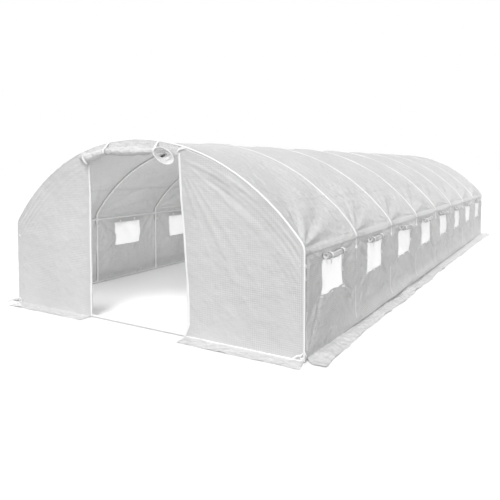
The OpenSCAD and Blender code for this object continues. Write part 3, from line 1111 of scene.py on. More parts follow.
@dataclass(frozen=True)
class EndCover:
    """The cover of one end: a panel on each side of the door, a band above it, and their hems."""

    end: End
    finishes: Finishes
    section: Section = Section()
    face_y: float = -5.0173
    door_half: float = 0.69
    door_top: float = 1.8825
    door_arc: float = 3.9
    # Heights on the right panel's door edge and how far the pulled edge stands out from the post there.
    edge_z: Row = (0.0, 0.05, 0.13, 0.36, 0.73, 1.09, 1.39, 1.64, 1.86)
    edge_x: Row = (-0.030, -0.008, 0.030, 0.030, 0.004, -0.024, -0.052, -0.072, -0.084)
    foot_z: float = 0.006
    billow: float = 0.010
    # Folds that fan from the door's top corner: degrees below the level, and their depth, width and length.
    folds: Row = (17, 21, 25, 29, 33, 37, 42, 48, 55, 63, 72)
    fold: float = 0.0042
    fold_w: Pair = (1.2, 2.4)
    fold_len: Pair = (0.35, 0.8)
    fold_top: float = 1.83
    left_calm: float = 0.4
    # Lines pulled along the arch: their height and spacing.
    arch_line: float = 0.0042
    arch_line_w: float = 0.055
    slow: Ripple = Ripple(0.006, 0.33, 0.45)
    quick: Ripple = Ripple(0.0030, 0.12, 0.14)
    # A panel's height at its door edge, and the share of its width by height that lies under the arch.
    panel_h: float = 1.87
    panel_share: float = 0.84
    # The band: where it ends on the right, its height, and the share of its width by height that it fills.
    band_end: float = 0.612
    band_h: float = 0.13
    band_share: float = 0.8
    # How far the left panel laps past the door's edge.
    left_over: float = 0.020
    hem_w: float = 0.020
    # The hem round the arch in section: how far out from the cover and how far back from the end's face.
    arch_profile: Pairs = (
        (0.0005, 0.0130),
        (0.0080, 0.0135),
        (0.0105, 0.0110),
        (0.0110, 0.0060),
        (0.0085, 0.0005),
        (0.0030, -0.0028),
        (-0.0015, -0.0034),
        (-0.0040, -0.0016),
    )
    # The other hems in section: across the cloth from its edge, or up from the ground, and out from the face.
    edge_profile: Pairs = (
        (-0.002, -0.004),
        (-0.004, 0.000),
        (-0.002, 0.003),
        (0.008, 0.0034),
        (0.020, 0.0012),
    )
    wrapped_profile: Pairs = (
        (0.017, -0.0275),
        (0.006, -0.012),
        (-0.001, 0.000),
        (0.003, 0.0034),
        (0.020, 0.0012),
    )
    foot_profile: Pairs = (
        (0.020, 0.0012),
        (0.017, 0.0045),
        (0.011, 0.0060),
        (0.006, 0.0050),
        (0.002, 0.0030),
    )
    # The strip that carries the right hem to the arch: places across and up, its width, and how far out.
    hem_to_arch: Pairs = ((0.600, 1.868), (0.622, 1.892), (0.655, 1.903), (0.705, 1.908))
    strip_w: float = 0.026
    strip_out: float = 0.0110

    @property
    def seed(self) -> int:
        """Starts this end's run of random patterns."""
        return 500 if self.end is End.FRONT else 700

    def turn(self, points: Grid) -> Grid:
        """Carries places on the front to this end."""
        return points * np.array([self.end.value, self.end.value, 1.0])

    def side_name(self, hand: int) -> str:
        """Names the side that a panel of the front lands on at this end."""
        return Side(hand * self.end.value).name.lower()

    def door_head(self, x: Grid) -> Grid:
        """Gives the height of the door's top edge."""
        return self.door_top - self.door_arc + np.sqrt(self.door_arc**2 - x**2)

    def panel(self, hand: int, u: Grid, v: Grid, lift: float = 0.0) -> Grid:
        """Finds places on a side panel.

        Args:
            hand: 1 for the panel on the right of the door as one faces it, -1 for the left.
            u: places from the door's edge (0) to the wall (1).
            v: places from the ground (0) to the arch (1).
            lift: height above the panel.

        Returns:
            Rows by columns by three places, on the front.
        """
        u, v = np.broadcast_arrays(u, v)
        wall = self.section.post_x + self.section.skin
        x = self.door_half + u * (wall - self.door_half)
        top = self.section.top(x)
        z = self.foot_z + v * (top - self.foot_z)
        chance = np.random.default_rng(self.seed + hand)
        held_edge = np.minimum(smooth((top - z) / 0.10), smooth((wall - x) / 0.10))
        held = held_edge * smooth(z / 0.09)
        out = self.billow * np.sin(np.pi * np.clip(u, 0, 1)) * np.sin(np.pi * np.clip(v, 0, 1))
        far_x, far_z = x - (self.door_half - 0.03), self.fold_top - z
        reach = np.hypot(far_x, far_z)
        slant = np.degrees(np.arctan2(far_z, np.maximum(far_x, 1e-6)))
        for middle in self.folds:
            at, width = middle + chance.uniform(-1.5, 1.5), chance.uniform(*self.fold_w)
            length = chance.uniform(*self.fold_len)
            size = self.fold * chance.uniform(-1.0, 1.2) * (1.0 if hand > 0 else self.left_calm)
            out = out + size * swell(reach, length) * hump(slant - at, width)
        # Lines pulled along the arch, side by side under the hem.
        centre = self.section.ridge_z - self.section.arch_r
        under = (self.section.arch_r + self.section.skin - np.hypot(x, z - centre)) / self.arch_line_w
        lines = np.sin(2 * np.pi * under + 1.5 * waves(x / 0.3, z / 0.3, self.seed + hand + 9))
        shown = 0.5 + 0.5 * waves(x / 0.28, z / 0.4, self.seed + hand + 8)
        out = out + self.arch_line * lines * np.exp(-under / 3.0) * shown
        slow = self.slow.at(x, z, self.seed + hand + 4)
        quick = self.quick.at(x, z, self.seed + hand + 6)
        out = held * (out + slow + quick)
        if hand > 0:
            shift = np.clip(1 - u, 0, 1) ** 2 * np.interp(z, self.edge_z, self.edge_x)
        else:
            shift = -self.left_over * np.clip(1 - 8 * u, 0, 1)
        return np.stack([hand * (x + shift), self.face_y - out - lift, z], axis=-1)

    def panel_sheet(self, hand: int) -> None:
        """Builds a side panel, which stands for its CAD node.

        Args:
            hand: 1 for the right of the door, -1 for the left.
        """
        u = np.concatenate([np.linspace(0, 0.94, 96), 1 - np.geomspace(0.055, 0.0005, 12)])[None, :]
        v = np.linspace(0, 1, 130)[:, None]
        points = self.panel(hand, u, v)
        cloth = ClothMesh()
        cloth.add(self.turn(points), points[..., [0, 2]])
        name = f"{self.end.name.lower()}_{self.side_name(hand)}_panel"
        made = cloth.piece(f"{name}_cloth", self.finishes.tight, "cover")
        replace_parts(made, name)

    def band_sheet(self) -> None:
        """Builds the band between the arch and the rolled door, which stands for its CAD node."""
        x = np.linspace(-self.door_half, self.band_end, 110)[None, :]
        v = np.linspace(0, 1, 12)[:, None]
        low, high = self.door_head(x), self.section.top(x)
        z = low + v * (high - low)
        pull = (1 - v) ** 2 * (0.004 + 0.004 * waves(x / 0.12, 0 * x, self.seed + 31))
        y = self.face_y - 0.0012 - pull + 0 * z
        points = join(x, y, z)
        cloth = ClothMesh()
        cloth.add(self.turn(points), points[..., [0, 2]])
        name = f"{self.end.name.lower()}_top_panel"
        # The band takes the whiter layered cloth as painted light, lifting the shade that the rolled door
        # casts on it.
        made = cloth.piece(f"{name}_cloth", self.finishes.layers, "cover")
        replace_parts(made, name)

    def arch_hem(self) -> None:
        """Builds the white hem round the end hoop, over the roof's edge and down both corners."""
        cloth = ClothMesh()
        profile = np.array(self.arch_profile)
        s = np.concatenate([np.linspace(0.008, 1.0, 40), np.linspace(1.01, self.section.total, 110)])[:, None]
        for side in Side:
            x, z, nx, nz = self.section.locate(s)
            ripple = 0.0012 * waves(s / 0.07, 0 * s + side.value, self.seed + 41)
            out = profile[None, :, 0] + ripple
            y = self.face_y + profile[None, :, 1] - 0.4 * ripple
            points = join(side.value * (x + out * nx), y, z + out * nz)
            run = np.linspace(0, 0.07, len(profile))[None, :]
            cloth.add(self.turn(points), join(run, s))
        cloth.piece(f"{self.end.name.lower()}_arch_hem", self.finishes.tape, "tape")

    def door_hems(self) -> None:
        """Builds the white hems down the door's two edges and along the foot of the right panel."""
        cloth = ClothMesh()
        wide = self.section.post_x + self.section.skin - self.door_half
        for hand, high, section in ((1, 0.975, self.edge_profile), (-1, 0.91, self.wrapped_profile)):
            profile = np.array(section)
            v = np.linspace(0, high, 90)[:, None]
            edge = self.panel(hand, np.zeros((1, 1)), v)
            inner = self.panel(hand, np.full((1, 1), self.hem_w / wide), v)
            share = np.clip(profile[None, :, :1] / self.hem_w, 0, 1)
            points = edge * (1 - share) + inner * share
            points[..., 0] += hand * np.minimum(profile[None, :, 0], 0)
            points[..., 1] -= profile[None, :, 1]
            run = profile[None, :, 0]
            cloth.add(self.turn(points), join(run, v * 1.8))
        path = np.array([(x, self.face_y - self.strip_out, z) for x, z in self.hem_to_arch])
        points, flat = ribbon(path, np.array([0.0, 0.0, 1.0]), self.strip_w)
        cloth.add(self.turn(points), flat)
        foot = np.array(self.foot_profile)
        x = np.linspace(self.door_half + 0.004, self.section.post_x + 0.012, 90)[None, :]
        ripple = 0.0030 * waves(x / 0.09, 0 * x, self.seed + 52)
        y = self.face_y - foot[:, None, 1] - ripple
        points = join(x, y, foot[:, None, 0] + 0.5 * ripple)
        cloth.add(self.turn(points), points[..., [0, 2]])
        cloth.piece(f"{self.end.name.lower()}_door_hems", self.finishes.tape, "tape")

    def build(self) -> None:
        """Builds the panels, the band and the hems of this end."""
        for hand in (1, -1):
            self.panel_sheet(hand)
        self.band_sheet()
        self.arch_hem()
        self.door_hems()


@dataclass(frozen=True)
class RolledDoor:
    """The door of one end, rolled up under the band, held by two ties, with its right end sprung open."""

    cover: EndCover
    # Places across the door, with the height of the roll's middle and its radius there.
    line_x: Row = (-0.80, -0.735, -0.62, -0.50, -0.39, -0.32, -0.24, 0.0, 0.23, 0.33)
    line_z: Row = (1.828, 1.829, 1.820, 1.849, 1.884, 1.883, 1.880, 1.880, 1.876, 1.880)
    line_r: Row = (0.022, 0.041, 0.054, 0.046, 0.027, 0.036, 0.0445, 0.0455, 0.038, 0.027)
    ties: Pair = (-0.39, 0.33)
    tie_w: float = 0.026
    tie_out: float = 0.006
    turns: float = 8.0
    core_share: float = 0.18
    door_h: float = 1.80
    # Rumples along and round the roll, and the pleats that each tie gathers, as shares of its radius.
    slow: Ripple = Ripple(0.19, 0.075, 1.1, slant=2.2)
    quick: Ripple = Ripple(0.10, 0.036, 0.5, slant=-1.6)
    pleat: float = 0.13
    pleats: int = 7
    pleat_reach: float = 0.07
    # The open end: its middle, its two half widths, how far it tips, and how far it turns to the front.
    mouth: Triple = (0.515, -5.135, 1.828)
    mouth_long: float = 0.110
    mouth_short: float = 0.067
    mouth_tip: float = -36.0
    mouth_turn: float = 48.6
    hole_long: float = 0.030
    hole_short: float = 0.013
    hole_tip: float = 25.0
    hem_r: float = 0.0055
    # Places along the loose corner of cloth at the other end.
    loose_corner: tuple[Triple, ...] = (
        (-0.66, -5.128, 1.838),
        (-0.64, -5.142, 1.806),
        (-0.61, -5.142, 1.772),
        (-0.58, -5.132, 1.748),
        (-0.56, -5.120, 1.768),
    )

    def facing(self, tip: float, long: float, short: float) -> tuple[Grid, Grid, Grid]:
        """Gives the axes of an oval that faces out of the open end.

        Args:
            tip: degrees that its long axis rises to the right.
            long: half of its length.
            short: half of its width.

        Returns:
            The long and short half axes, and the direction that it faces.
        """
        turn, lean = math.radians(self.mouth_turn), math.radians(tip)
        out = np.array([math.cos(turn), -math.sin(turn), 0.0])
        right = np.array([math.sin(turn), math.cos(turn), 0.0])
        high = np.array([0.0, 0.0, 1.0])
        return (
            long * (math.cos(lean) * right + math.sin(lean) * high),
            short * (math.cos(lean) * high - math.sin(lean) * right),
            out,
        )

    def sections(self, x: Grid) -> tuple[Grid, Grid, Grid, Grid]:
        """Gives the roll's sections along its length.

        Args:
            x: places across the door.

        Returns:
            Their middles, their two half axes, and the way that the roll runs.
        """
        opened = smooth((x - self.ties[1]) / (self.mouth[0] - self.ties[1]))[:, None]
        z, r = through(x, self.line_x, self.line_z), through(x, self.line_x, self.line_r)
        middle = np.stack([x, self.cover.face_y - 0.004 - r, z], axis=-1)
        middle[:, 1:] += opened * (np.array(self.mouth[1:]) - middle[:, 1:])
        long, short, out = self.facing(self.mouth_tip, self.mouth_long, self.mouth_short)
        back = (1 - opened) * r[:, None] * np.array([0.0, 1.0, 0.0]) + opened * long
        high = (1 - opened) * r[:, None] * np.array([0.0, 0.0, 1.0]) + opened * short
        return middle, back, high, (1 - opened) * np.array([1.0, 0.0, 0.0]) + opened * out

    def spiral(self, x: Grid) -> tuple[Grid, Grid]:
        """Winds the sheet up.

        Args:
            x: places across the door.

        Returns:
            Rows by columns of places from the core to the last turn, and each row's share of the way.
        """
        phi = np.linspace(0, 2 * np.pi * self.turns, int(self.turns * 28))[:, None]
        wind, angle = phi / phi[-1], phi - phi[-1]
        seed = self.cover.seed + 61
        middle, back, high, way = self.sections(x)
        rumple = self.slow.at(x, angle, seed) + self.quick.at(x, angle, seed + 1)
        for tie in self.ties:
            gathered = self.pleat * np.cos(self.pleats * angle + 3 * tie)
            rumple = rumple + gathered * hump(x - tie, self.pleat_reach)
        opened = smooth((x - self.ties[1]) / (self.mouth[0] - self.ties[1]))
        rel = (self.core_share + (1 - self.core_share) * wind**0.9) * (1 + rumple * (1 - 0.6 * opened))
        # Inner turns stop short of the open end, and the other end is uneven.
        slip = -0.09 * opened * np.sqrt(1 - wind)
        ragged = smooth((self.line_x[0] + 0.12 - x) / 0.12)
        slip = slip - 0.030 * ragged * (wind - 0.5 + 0.5 * waves(angle, 0 * angle, seed))
        places = middle + way * slip[..., None]
        places = places + back * (rel * np.cos(angle))[..., None] + high * (rel * np.sin(angle))[..., None]
        return places, wind

    def funnel(self) -> tuple[Grid, Grid]:
        """Closes the open end with the pressed edges of the turns, which wind in to a small hole.

        Returns:
            Rows by columns of places, and their places on the flat cloth.
        """
        inward = np.concatenate([np.linspace(0, 1, 15), [1.02, 1.04]])[:, None]
        depth = np.concatenate([0.040 * np.linspace(0, 1, 15) ** 1.3, [0.075, 0.14]])[:, None]
        angle = np.linspace(0, 2 * np.pi, 57)[None, :]
        share = np.clip(inward, 0, 1)[..., None]
        long, short, out = self.facing(self.mouth_tip, self.mouth_long, self.mouth_short)
        small_long, small_short, _ = self.facing(self.hole_tip, self.hole_long, self.hole_short)
        step = (angle / (2 * np.pi) + 2.4 * inward) % 1.0
        depth = depth + 0.010 * step * np.clip(inward * 4, 0, 1)
        places = np.array(self.mouth) - out * depth[..., None]
        places = places + ((1 - share) * long + share * small_long) * np.cos(angle)[..., None]
        places = places + ((1 - share) * short + share * small_short) * np.sin(angle)[..., None]
        return places, join(angle * 0.08, -inward * 0.07)

    def roll(self) -> None:
        """Builds the rolled sheet as a true spiral, with a thin drooping left end and an open right end."""
        x = np.linspace(self.line_x[0], self.mouth[0], 124)
        places, wind = self.spiral(x)
        cloth = ClothMesh()
        cloth.add(self.cover.turn(places), join(x[None, :], wind * self.door_h))
        under = x < self.ties[1] + 0.02
        last, x = places[-1, under], x[under]
        half = self.cover.door_half
        head = self.cover.door_head(np.clip(x, -half, half)) + 0.02
        head = np.minimum(head, self.cover.section.top(x) - 0.03)
        rise = np.linspace(0, 1, 6)[:, None]
        top = join(
            last[:, 0],
            last[:, 1] * (1 - rise) + (self.cover.face_y - 0.002) * rise,
            last[:, 2] * (1 - rise) + np.maximum(head, last[:, 2]) * rise,
        )
        flat = join(x[None, :], self.door_h + 0.08 * rise)
        cloth.add(self.cover.turn(top), flat)
        places, flat = self.funnel()
        cloth.add(self.cover.turn(places), flat)
        name = f"{self.cover.end.name.lower()}_door_roll"
        made = cloth.piece(f"{name}_cloth", self.cover.finishes.layers, "cover")
        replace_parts(made, name)

    def bands(self, cloth: ClothMesh) -> None:
        """Adds the two ties, the hem round the open end and the loose corner at the other end.

        Args:
            cloth: takes the bands.
        """
        turn = np.linspace(0, 2 * np.pi, 41)
        for tie in self.ties:
            (x, y, z), back, _, _ = (part[0] for part in self.sections(np.array([tie])))
            ring = np.linalg.norm(back) + self.tie_out + 0.002 * np.cos(5 * turn)
            path = np.stack([0 * turn + x, y + ring * np.cos(turn), z + ring * np.sin(turn)], axis=-1)
            self.lay(cloth, path, np.array([1.0, 0.0, 0.0]))
            rise = np.linspace(0, 1, 8)
            top = self.cover.section.top(np.array(tie)) - 0.004
            path = np.stack(
                [
                    tie + 0.02 * rise,
                    (y - 0.5 * ring[0]) * (1 - rise) + (self.cover.face_y - 0.006) * rise,
                    (z + 0.95 * ring[0]) * (1 - rise) + top * rise,
                ],
                axis=-1,
            )
            self.lay(cloth, path, np.array([1.0, 0.0, 0.0]))
        long, short, out = self.facing(self.mouth_tip, self.mouth_long, self.mouth_short)
        spoke = long * np.cos(turn)[:, None] + short * np.sin(turn)[:, None]
        ray = spoke / np.linalg.norm(spoke, axis=-1, keepdims=True)
        round_hem = np.linspace(0, 2 * np.pi, 10)[None, :, None]
        bead = self.hem_r * (1 + 0.25 * waves(turn / 0.5, 0 * turn, self.cover.seed + 66))[:, None, None]
        places = np.array(self.mouth) + spoke[:, None] + bead * (
            ray[:, None] * np.cos(round_hem) + out * np.sin(round_hem)
        )
        flat = join(turn[:, None] * 0.085, round_hem[..., 0] * self.hem_r)
        cloth.add(self.cover.turn(places), flat)
        self.lay(cloth, np.array(self.loose_corner), np.array([0.5, 0.0, 0.4]))

    def lay(self, cloth: ClothMesh, path: Grid, across: Grid) -> None:
        """Lays a band along a path on the front and carries it to this end."""
        points, flat = ribbon(path, across, self.tie_w)
        cloth.add(self.cover.turn(points), flat)


@dataclass(frozen=True)
class Windows:
    """The windows: a net in each opening, its flap rolled up above it, the ties and the closing tabs."""

    sides: tuple[SideCover, SideCover]
    finishes: Finishes
    net_margin: float = 0.005
    roll_len: float = 0.62
    roll_shift: float = 0.04
    roll_r: float = 0.032
    roll_rise: float = 0.028
    turns: float = 4.0
    core_r: float = 0.005
    # A flap's whole height, the part of it that is rolled up and the part that it hangs by.
    flap_h: float = 0.44
    rolled_h: float = 0.40
    hung_h: float = 0.036
    # The roll's far end tapers and its near end slackens: over what length, and by what share of its radius.
    taper: Pair = (0.16, 0.62)
    slack: Pair = (0.10, 0.06)
    # How much of the radius each tie takes, and over what length.
    pinch: Pair = (0.17, 0.03)
    slow: Ripple = Ripple(0.15, 0.06, 0.9)
    quick: Ripple = Ripple(0.09, 0.03, 1.0)
    # The groove along the roll: its share of the radius, its place round the roll and its width, in radians.
    groove: Triple = (0.30, 2.8, 0.30)
    # The hollow in each end: its depth, its share of the radius, and how far it is flattened.
    hollow: Triple = (0.045, 0.54, 0.60)
    tie_at: float = 0.15
    tie_w: float = 0.036
    tie_out: float = 0.008
    tail_len: float = 0.05
    tab: Pair = (0.046, 0.020)
    # The tabs' places: how far under the window, how far beside it, and the height of those beside it.
    tab_under: float = 0.012
    tab_beside: float = 0.014
    tab_s: float = 0.68

    @property
    def count(self) -> int:
        """Counts the windows of both sides."""
        return sum(cover.bays for cover in self.sides)

    def nets(self) -> Object:
        """Builds the nets behind the openings, a little slack.

        Returns:
            All the nets, which stand for their CAD node.
        """
        cloth = ClothMesh()
        for cover in self.sides:
            for number in range(cover.bays):
                half, low, high = cover.window_w / 2 + self.net_margin, cover.window_low, cover.window_top
                y = np.linspace(-half, half, 20)[None, :]
                s = np.linspace(low - self.net_margin, high + self.net_margin, 15)[:, None]
                slack = np.cos(np.pi * y / (2 * half)) * np.sin(np.pi * (s - s[0]) / (s[-1] - s[0]))
                drift = waves(y / 0.2, s / 0.2 + number, cover.seed + 71)
                depth = 0.002 + slack * (0.004 + 0.003 * drift)
                points = cover.surface(s, cover.window_y(number) + y, -depth)
                cloth.add(points, join(y, s))
        made = cloth.piece("window_net_cloth", self.finishes.net, "net")
        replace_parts(made, "window_nets")
        return made

    def roll_axis(self, cover: SideCover, number: int, run: Grid) -> tuple[Grid, Grid, Grid]:
        """Gives a rolled flap's middle line and radius.

        Args:
            cover: the side it hangs on.
            number: its bay.
            run: places along the roll from its middle.

        Returns:
            Distance from the tunnel's middle, height and radius.
        """
        chance = np.random.default_rng(cover.seed + 80 + number)
        half = self.roll_len / 2
        taper = smooth((run - half + self.taper[0]) / self.taper[0])
        slack = smooth((-half + self.slack[0] - run) / self.slack[0])
        share, width = self.pinch
        pinch = sum(share * hump(run + self.roll_shift - at, width) for at in (-self.tie_at, self.tie_at))
        r = self.roll_r * (1 - self.taper[1] * taper - self.slack[1] * slack) * (1 - pinch)
        tilt, bow = chance.uniform(-0.017, 0.004), chance.uniform(0.0, 0.010)
        z = cover.window_top + self.roll_rise + tilt * run / half + 0.010 * slack - 0.004 * taper
        z = z - bow * np.sin(np.pi * (run / half + 1)) * 0.5
        y = cover.window_y(number) + self.roll_shift + run
        wall = cover.surface(np.full_like(run, cover.window_top), y)[..., 0] * cover.side.value
        return wall + r + 0.003, z, r

    def rolls(self) -> None:
        """Builds the rolled flaps as spirals that hang from the windows' top edges, for their CAD node."""
        cloth = ClothMesh()
        for cover in self.sides:
            for number in range(cover.bays):
                seed = cover.seed + 90 + number
                run = np.linspace(-self.roll_len / 2, self.roll_len / 2, 34)
                x, z, r = self.roll_axis(cover, number, run)
                phi = np.linspace(0, 2 * np.pi * self.turns, int(self.turns * 23))[:, None]
                angle = phi - phi[-1]
                rho = self.core_r + (r - self.core_r) * (phi / phi[-1]) ** 0.8
                rho = rho * (1 + self.slow.at(run, angle, seed) + self.quick.at(run, angle, seed))
                # The roll is not tight, so a groove runs along its outer side.
                share, at, width = self.groove
                rho = rho * (1 - share * hump(angle % (2 * np.pi) - at, width))
                near_end = smooth((np.abs(run) - self.roll_len / 2 + 0.05) / 0.05)
                slip = -np.sign(run) * 0.02 * near_end * np.sqrt(1 - phi / phi[-1])
                y = cover.window_y(number) + self.roll_shift + run + slip
                out = x - rho * np.cos(angle)
                high = z + rho * np.sin(angle)
                rise = np.linspace(0.25, 1, 4)[:, None]
                top_z = z + self.hung_h * rise
                wall = cover.surface(top_z, y[-1:], 0.0016)[..., 0] * cover.side.value
                reach = out[-1:] * (1 - rise) + wall * rise
                points = np.stack(
                    [
                        cover.side.value * np.concatenate([out, reach]),
                        np.concatenate([y, np.repeat(y[-1:], len(rise), axis=0)]),
                        np.concatenate([high, top_z]),
                    ],
                    axis=-1,
                )
                length = np.concatenate([phi / phi[-1] * self.rolled_h, self.rolled_h + self.hung_h * rise])
                cloth.add(points, join(run, length))
                for end in (0, -1):
                    middle = (x[end], y[-1, end], z[end])
                    cloth.add(*self.pressed_end(cover, middle, r[end], np.sign(run[end])))
        made = cloth.piece("window_roll_cloth", self.finishes.cover, "cover")
        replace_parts(made, "window_rolls")

    def pressed_end(self, cover: SideCover, middle: Triple, r: float, way: float) -> tuple[Grid, Grid]:
        """Closes an end of a rolled flap with the edges of its turns, round the hollow of the roll.

        Args:
            cover: the side it hangs on.
            middle: distance from the tunnel's middle, place along it and height of the end.
            r: the roll's radius there.
            way: 1 at the back end, -1 at the front end.

        Returns:
            Rows by columns of places, and their places on the flat cloth.
        """
        share = np.linspace(1.0, 0.04, 9)[:, None]
        angle = np.linspace(0, 2 * np.pi, 29)[None, :]
        step = (angle / (2 * np.pi) + 2.5 * (1 - share)) % 1.0
        out = 0.007 * step * np.clip(4 * (1 - share), 0, 1) - 0.016 * (1 - share) ** 0.7
        depth, start, flattened = self.hollow
        out = out - depth * smooth((start - share) / 0.16)
        x, y, z = middle
        ring = 0.94 * r * share
        # The roll's weight flattens the hollow to a slot that slants down and out.
        along = -ring * np.sin(angle + np.pi / 4)
        across = ring * np.cos(angle + np.pi / 4) * (1 - flattened * smooth((0.85 - share) / 0.40))
        points = join(
            cover.side.value * (x + (along - across) / np.sqrt(2)),
            y + way * out,
            z - (along + across) / np.sqrt(2),
        )
        return points, join(angle * r, share * r)

    def ties_and_tabs(self) -> None:
        """Builds the ties round the rolled flaps and the closing tabs, for the CAD's window ties."""
        cloth = ClothMesh()
        for cover in self.sides:
            for number in range(cover.bays):
                across = np.linspace(-self.tie_w / 2, self.tie_w / 2, 3)[None, :]
                for at in (-self.tie_at, self.tie_at):
                    x, z, r = self.roll_axis(cover, number, np.array([at - self.roll_shift]))
                    turn = np.linspace(-0.2, 2 * np.pi + 0.2, 25)[:, None]
                    ring = r + self.tie_out
                    y = cover.window_y(number) + at + across
                    points = join(cover.side.value * (x - ring * np.cos(turn)), y, z + ring * np.sin(turn))
                    cloth.add(points, join(across, turn * r))
                    fall = np.linspace(0, 1, 6)[:, None]
                    hang = join(
                        cover.side.value * (x + 0.4 * r + 0.006 - 0.008 * fall),
                        y + 0.008 * fall,
                        z - ring * 0.9 - self.tail_len * fall,
                    )
                    cloth.add(hang, join(across, fall * self.tail_len))
                half = cover.window_w / 2
                low, beside = cover.window_low - self.tab_under, half + self.tab_beside
                under = [(y_at, low) for y_at in (-half, 0.0, half)]
                for y_at, s_at in (*under, (-beside, self.tab_s), (beside, self.tab_s)):
                    wide, tall = self.tab if s_at == low else self.tab[::-1]
                    y = np.linspace(-wide / 2, wide / 2, 5)[None, :]
                    s = np.linspace(-tall / 2, tall / 2, 4)[:, None]
                    curl = 0.0025 + 0.004 * (y / wide + 0.5) ** 3
                    points = cover.surface(s_at + s, cover.window_y(number) + y_at + y, curl)
                    cloth.add(points, join(y, s))
        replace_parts(cloth.piece("window_tie_bands", self.finishes.tape, "tape"), "window_ties")

    def build(self) -> Object:
        """Builds the nets, the rolled flaps and their ties and tabs, and returns the nets."""
        self.rolls()
        self.ties_and_tabs()
        return self.nets()


@dataclass(frozen=True)
class Buttons:
    """The moulded buttons that hold the cover to the posts, the clips inside and the tails of the straps."""

    sides: tuple[SideCover, SideCover]
    finishes: Finishes
    at_s: float = 0.850
    radius: float = 0.022
    height: float = 0.011
    lift: float = 0.0008
    clip_x: float = 1.9705
    # The clip inside is a broader knob, which shows as a white spot on each post.
    clip_radius: float = 0.024
    clip_height: float = 0.013
    # A knob in section, from its rim to its middle: shares of its radius and of its height.
    profile: Pairs = (
        (1.0, 0.0),
        (1.0, 0.45),
        (0.93, 0.70),
        (0.78, 0.86),
        (0.66, 0.80),
        (0.5, 0.9),
        (0.02, 1.0),
    )
    tail: Pair = (0.012, 0.115)
    tail_lift: float = 0.0022
    tail_sway: float = 0.008
    tail_curl: float = 0.010

    def knob(self, x: Grid, y_at: float, radius: float) -> tuple[Grid, Grid]:
        """Turns a knob on a post.

        Args:
            x: places across the tunnel of the knob's rings.
            y_at: the post's place along the tunnel.
            radius: the knob's radius.

        Returns:
            Rows by columns of places, and their places on the flat.
        """
        turn = np.linspace(0, 2 * np.pi, 25)[None, :]
        ring = np.array(self.profile)[:, None, 0] * radius
        beside, up = ring * np.cos(turn), ring * np.sin(turn)
        return join(x, y_at + beside, self.at_s + up), join(beside, up)

    def build(self) -> None:
        """Builds the buttons and clips and the tails below them."""
        heads, tails = ClothMesh(), ClothMesh()
        high = np.array(self.profile)[:, None, 1]
        for cover in self.sides:
            for number in range(cover.bays + 1):
                y_at = cover.hoop_y(number)
                face = cover.surface(np.array([[self.at_s]]), np.array([[y_at]]))[0, 0, 0]
                outer = face + cover.side.value * (high * self.height + self.lift)
                inner = cover.side.value * (self.clip_x - high * self.clip_height)
                heads.add(*self.knob(outer, y_at, self.radius))
                heads.add(*self.knob(inner, y_at, self.clip_radius))
                fall = np.linspace(0, 1, 10)[:, None]
                across = np.linspace(-self.tail[0] / 2, self.tail[0] / 2, 3)[None, :]
                s = self.at_s - 0.010 - fall * self.tail[1]
                sway = self.tail_sway * fall**2 * math.sin(number * 2.3)
                curl = self.tail_curl * fall**2 * (0.5 + 0.5 * math.cos(number * 1.7))
                points = cover.surface(s + 0 * across, y_at + across + sway, self.tail_lift + curl)
                tails.add(points, join(across, fall * self.tail[1]))
        made = heads.piece("cover_button_heads", self.finishes.fitting, "fitting")
        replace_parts(made, "cover_buttons")
        tails.piece("cover_button_tails", self.finishes.tape, "tape")


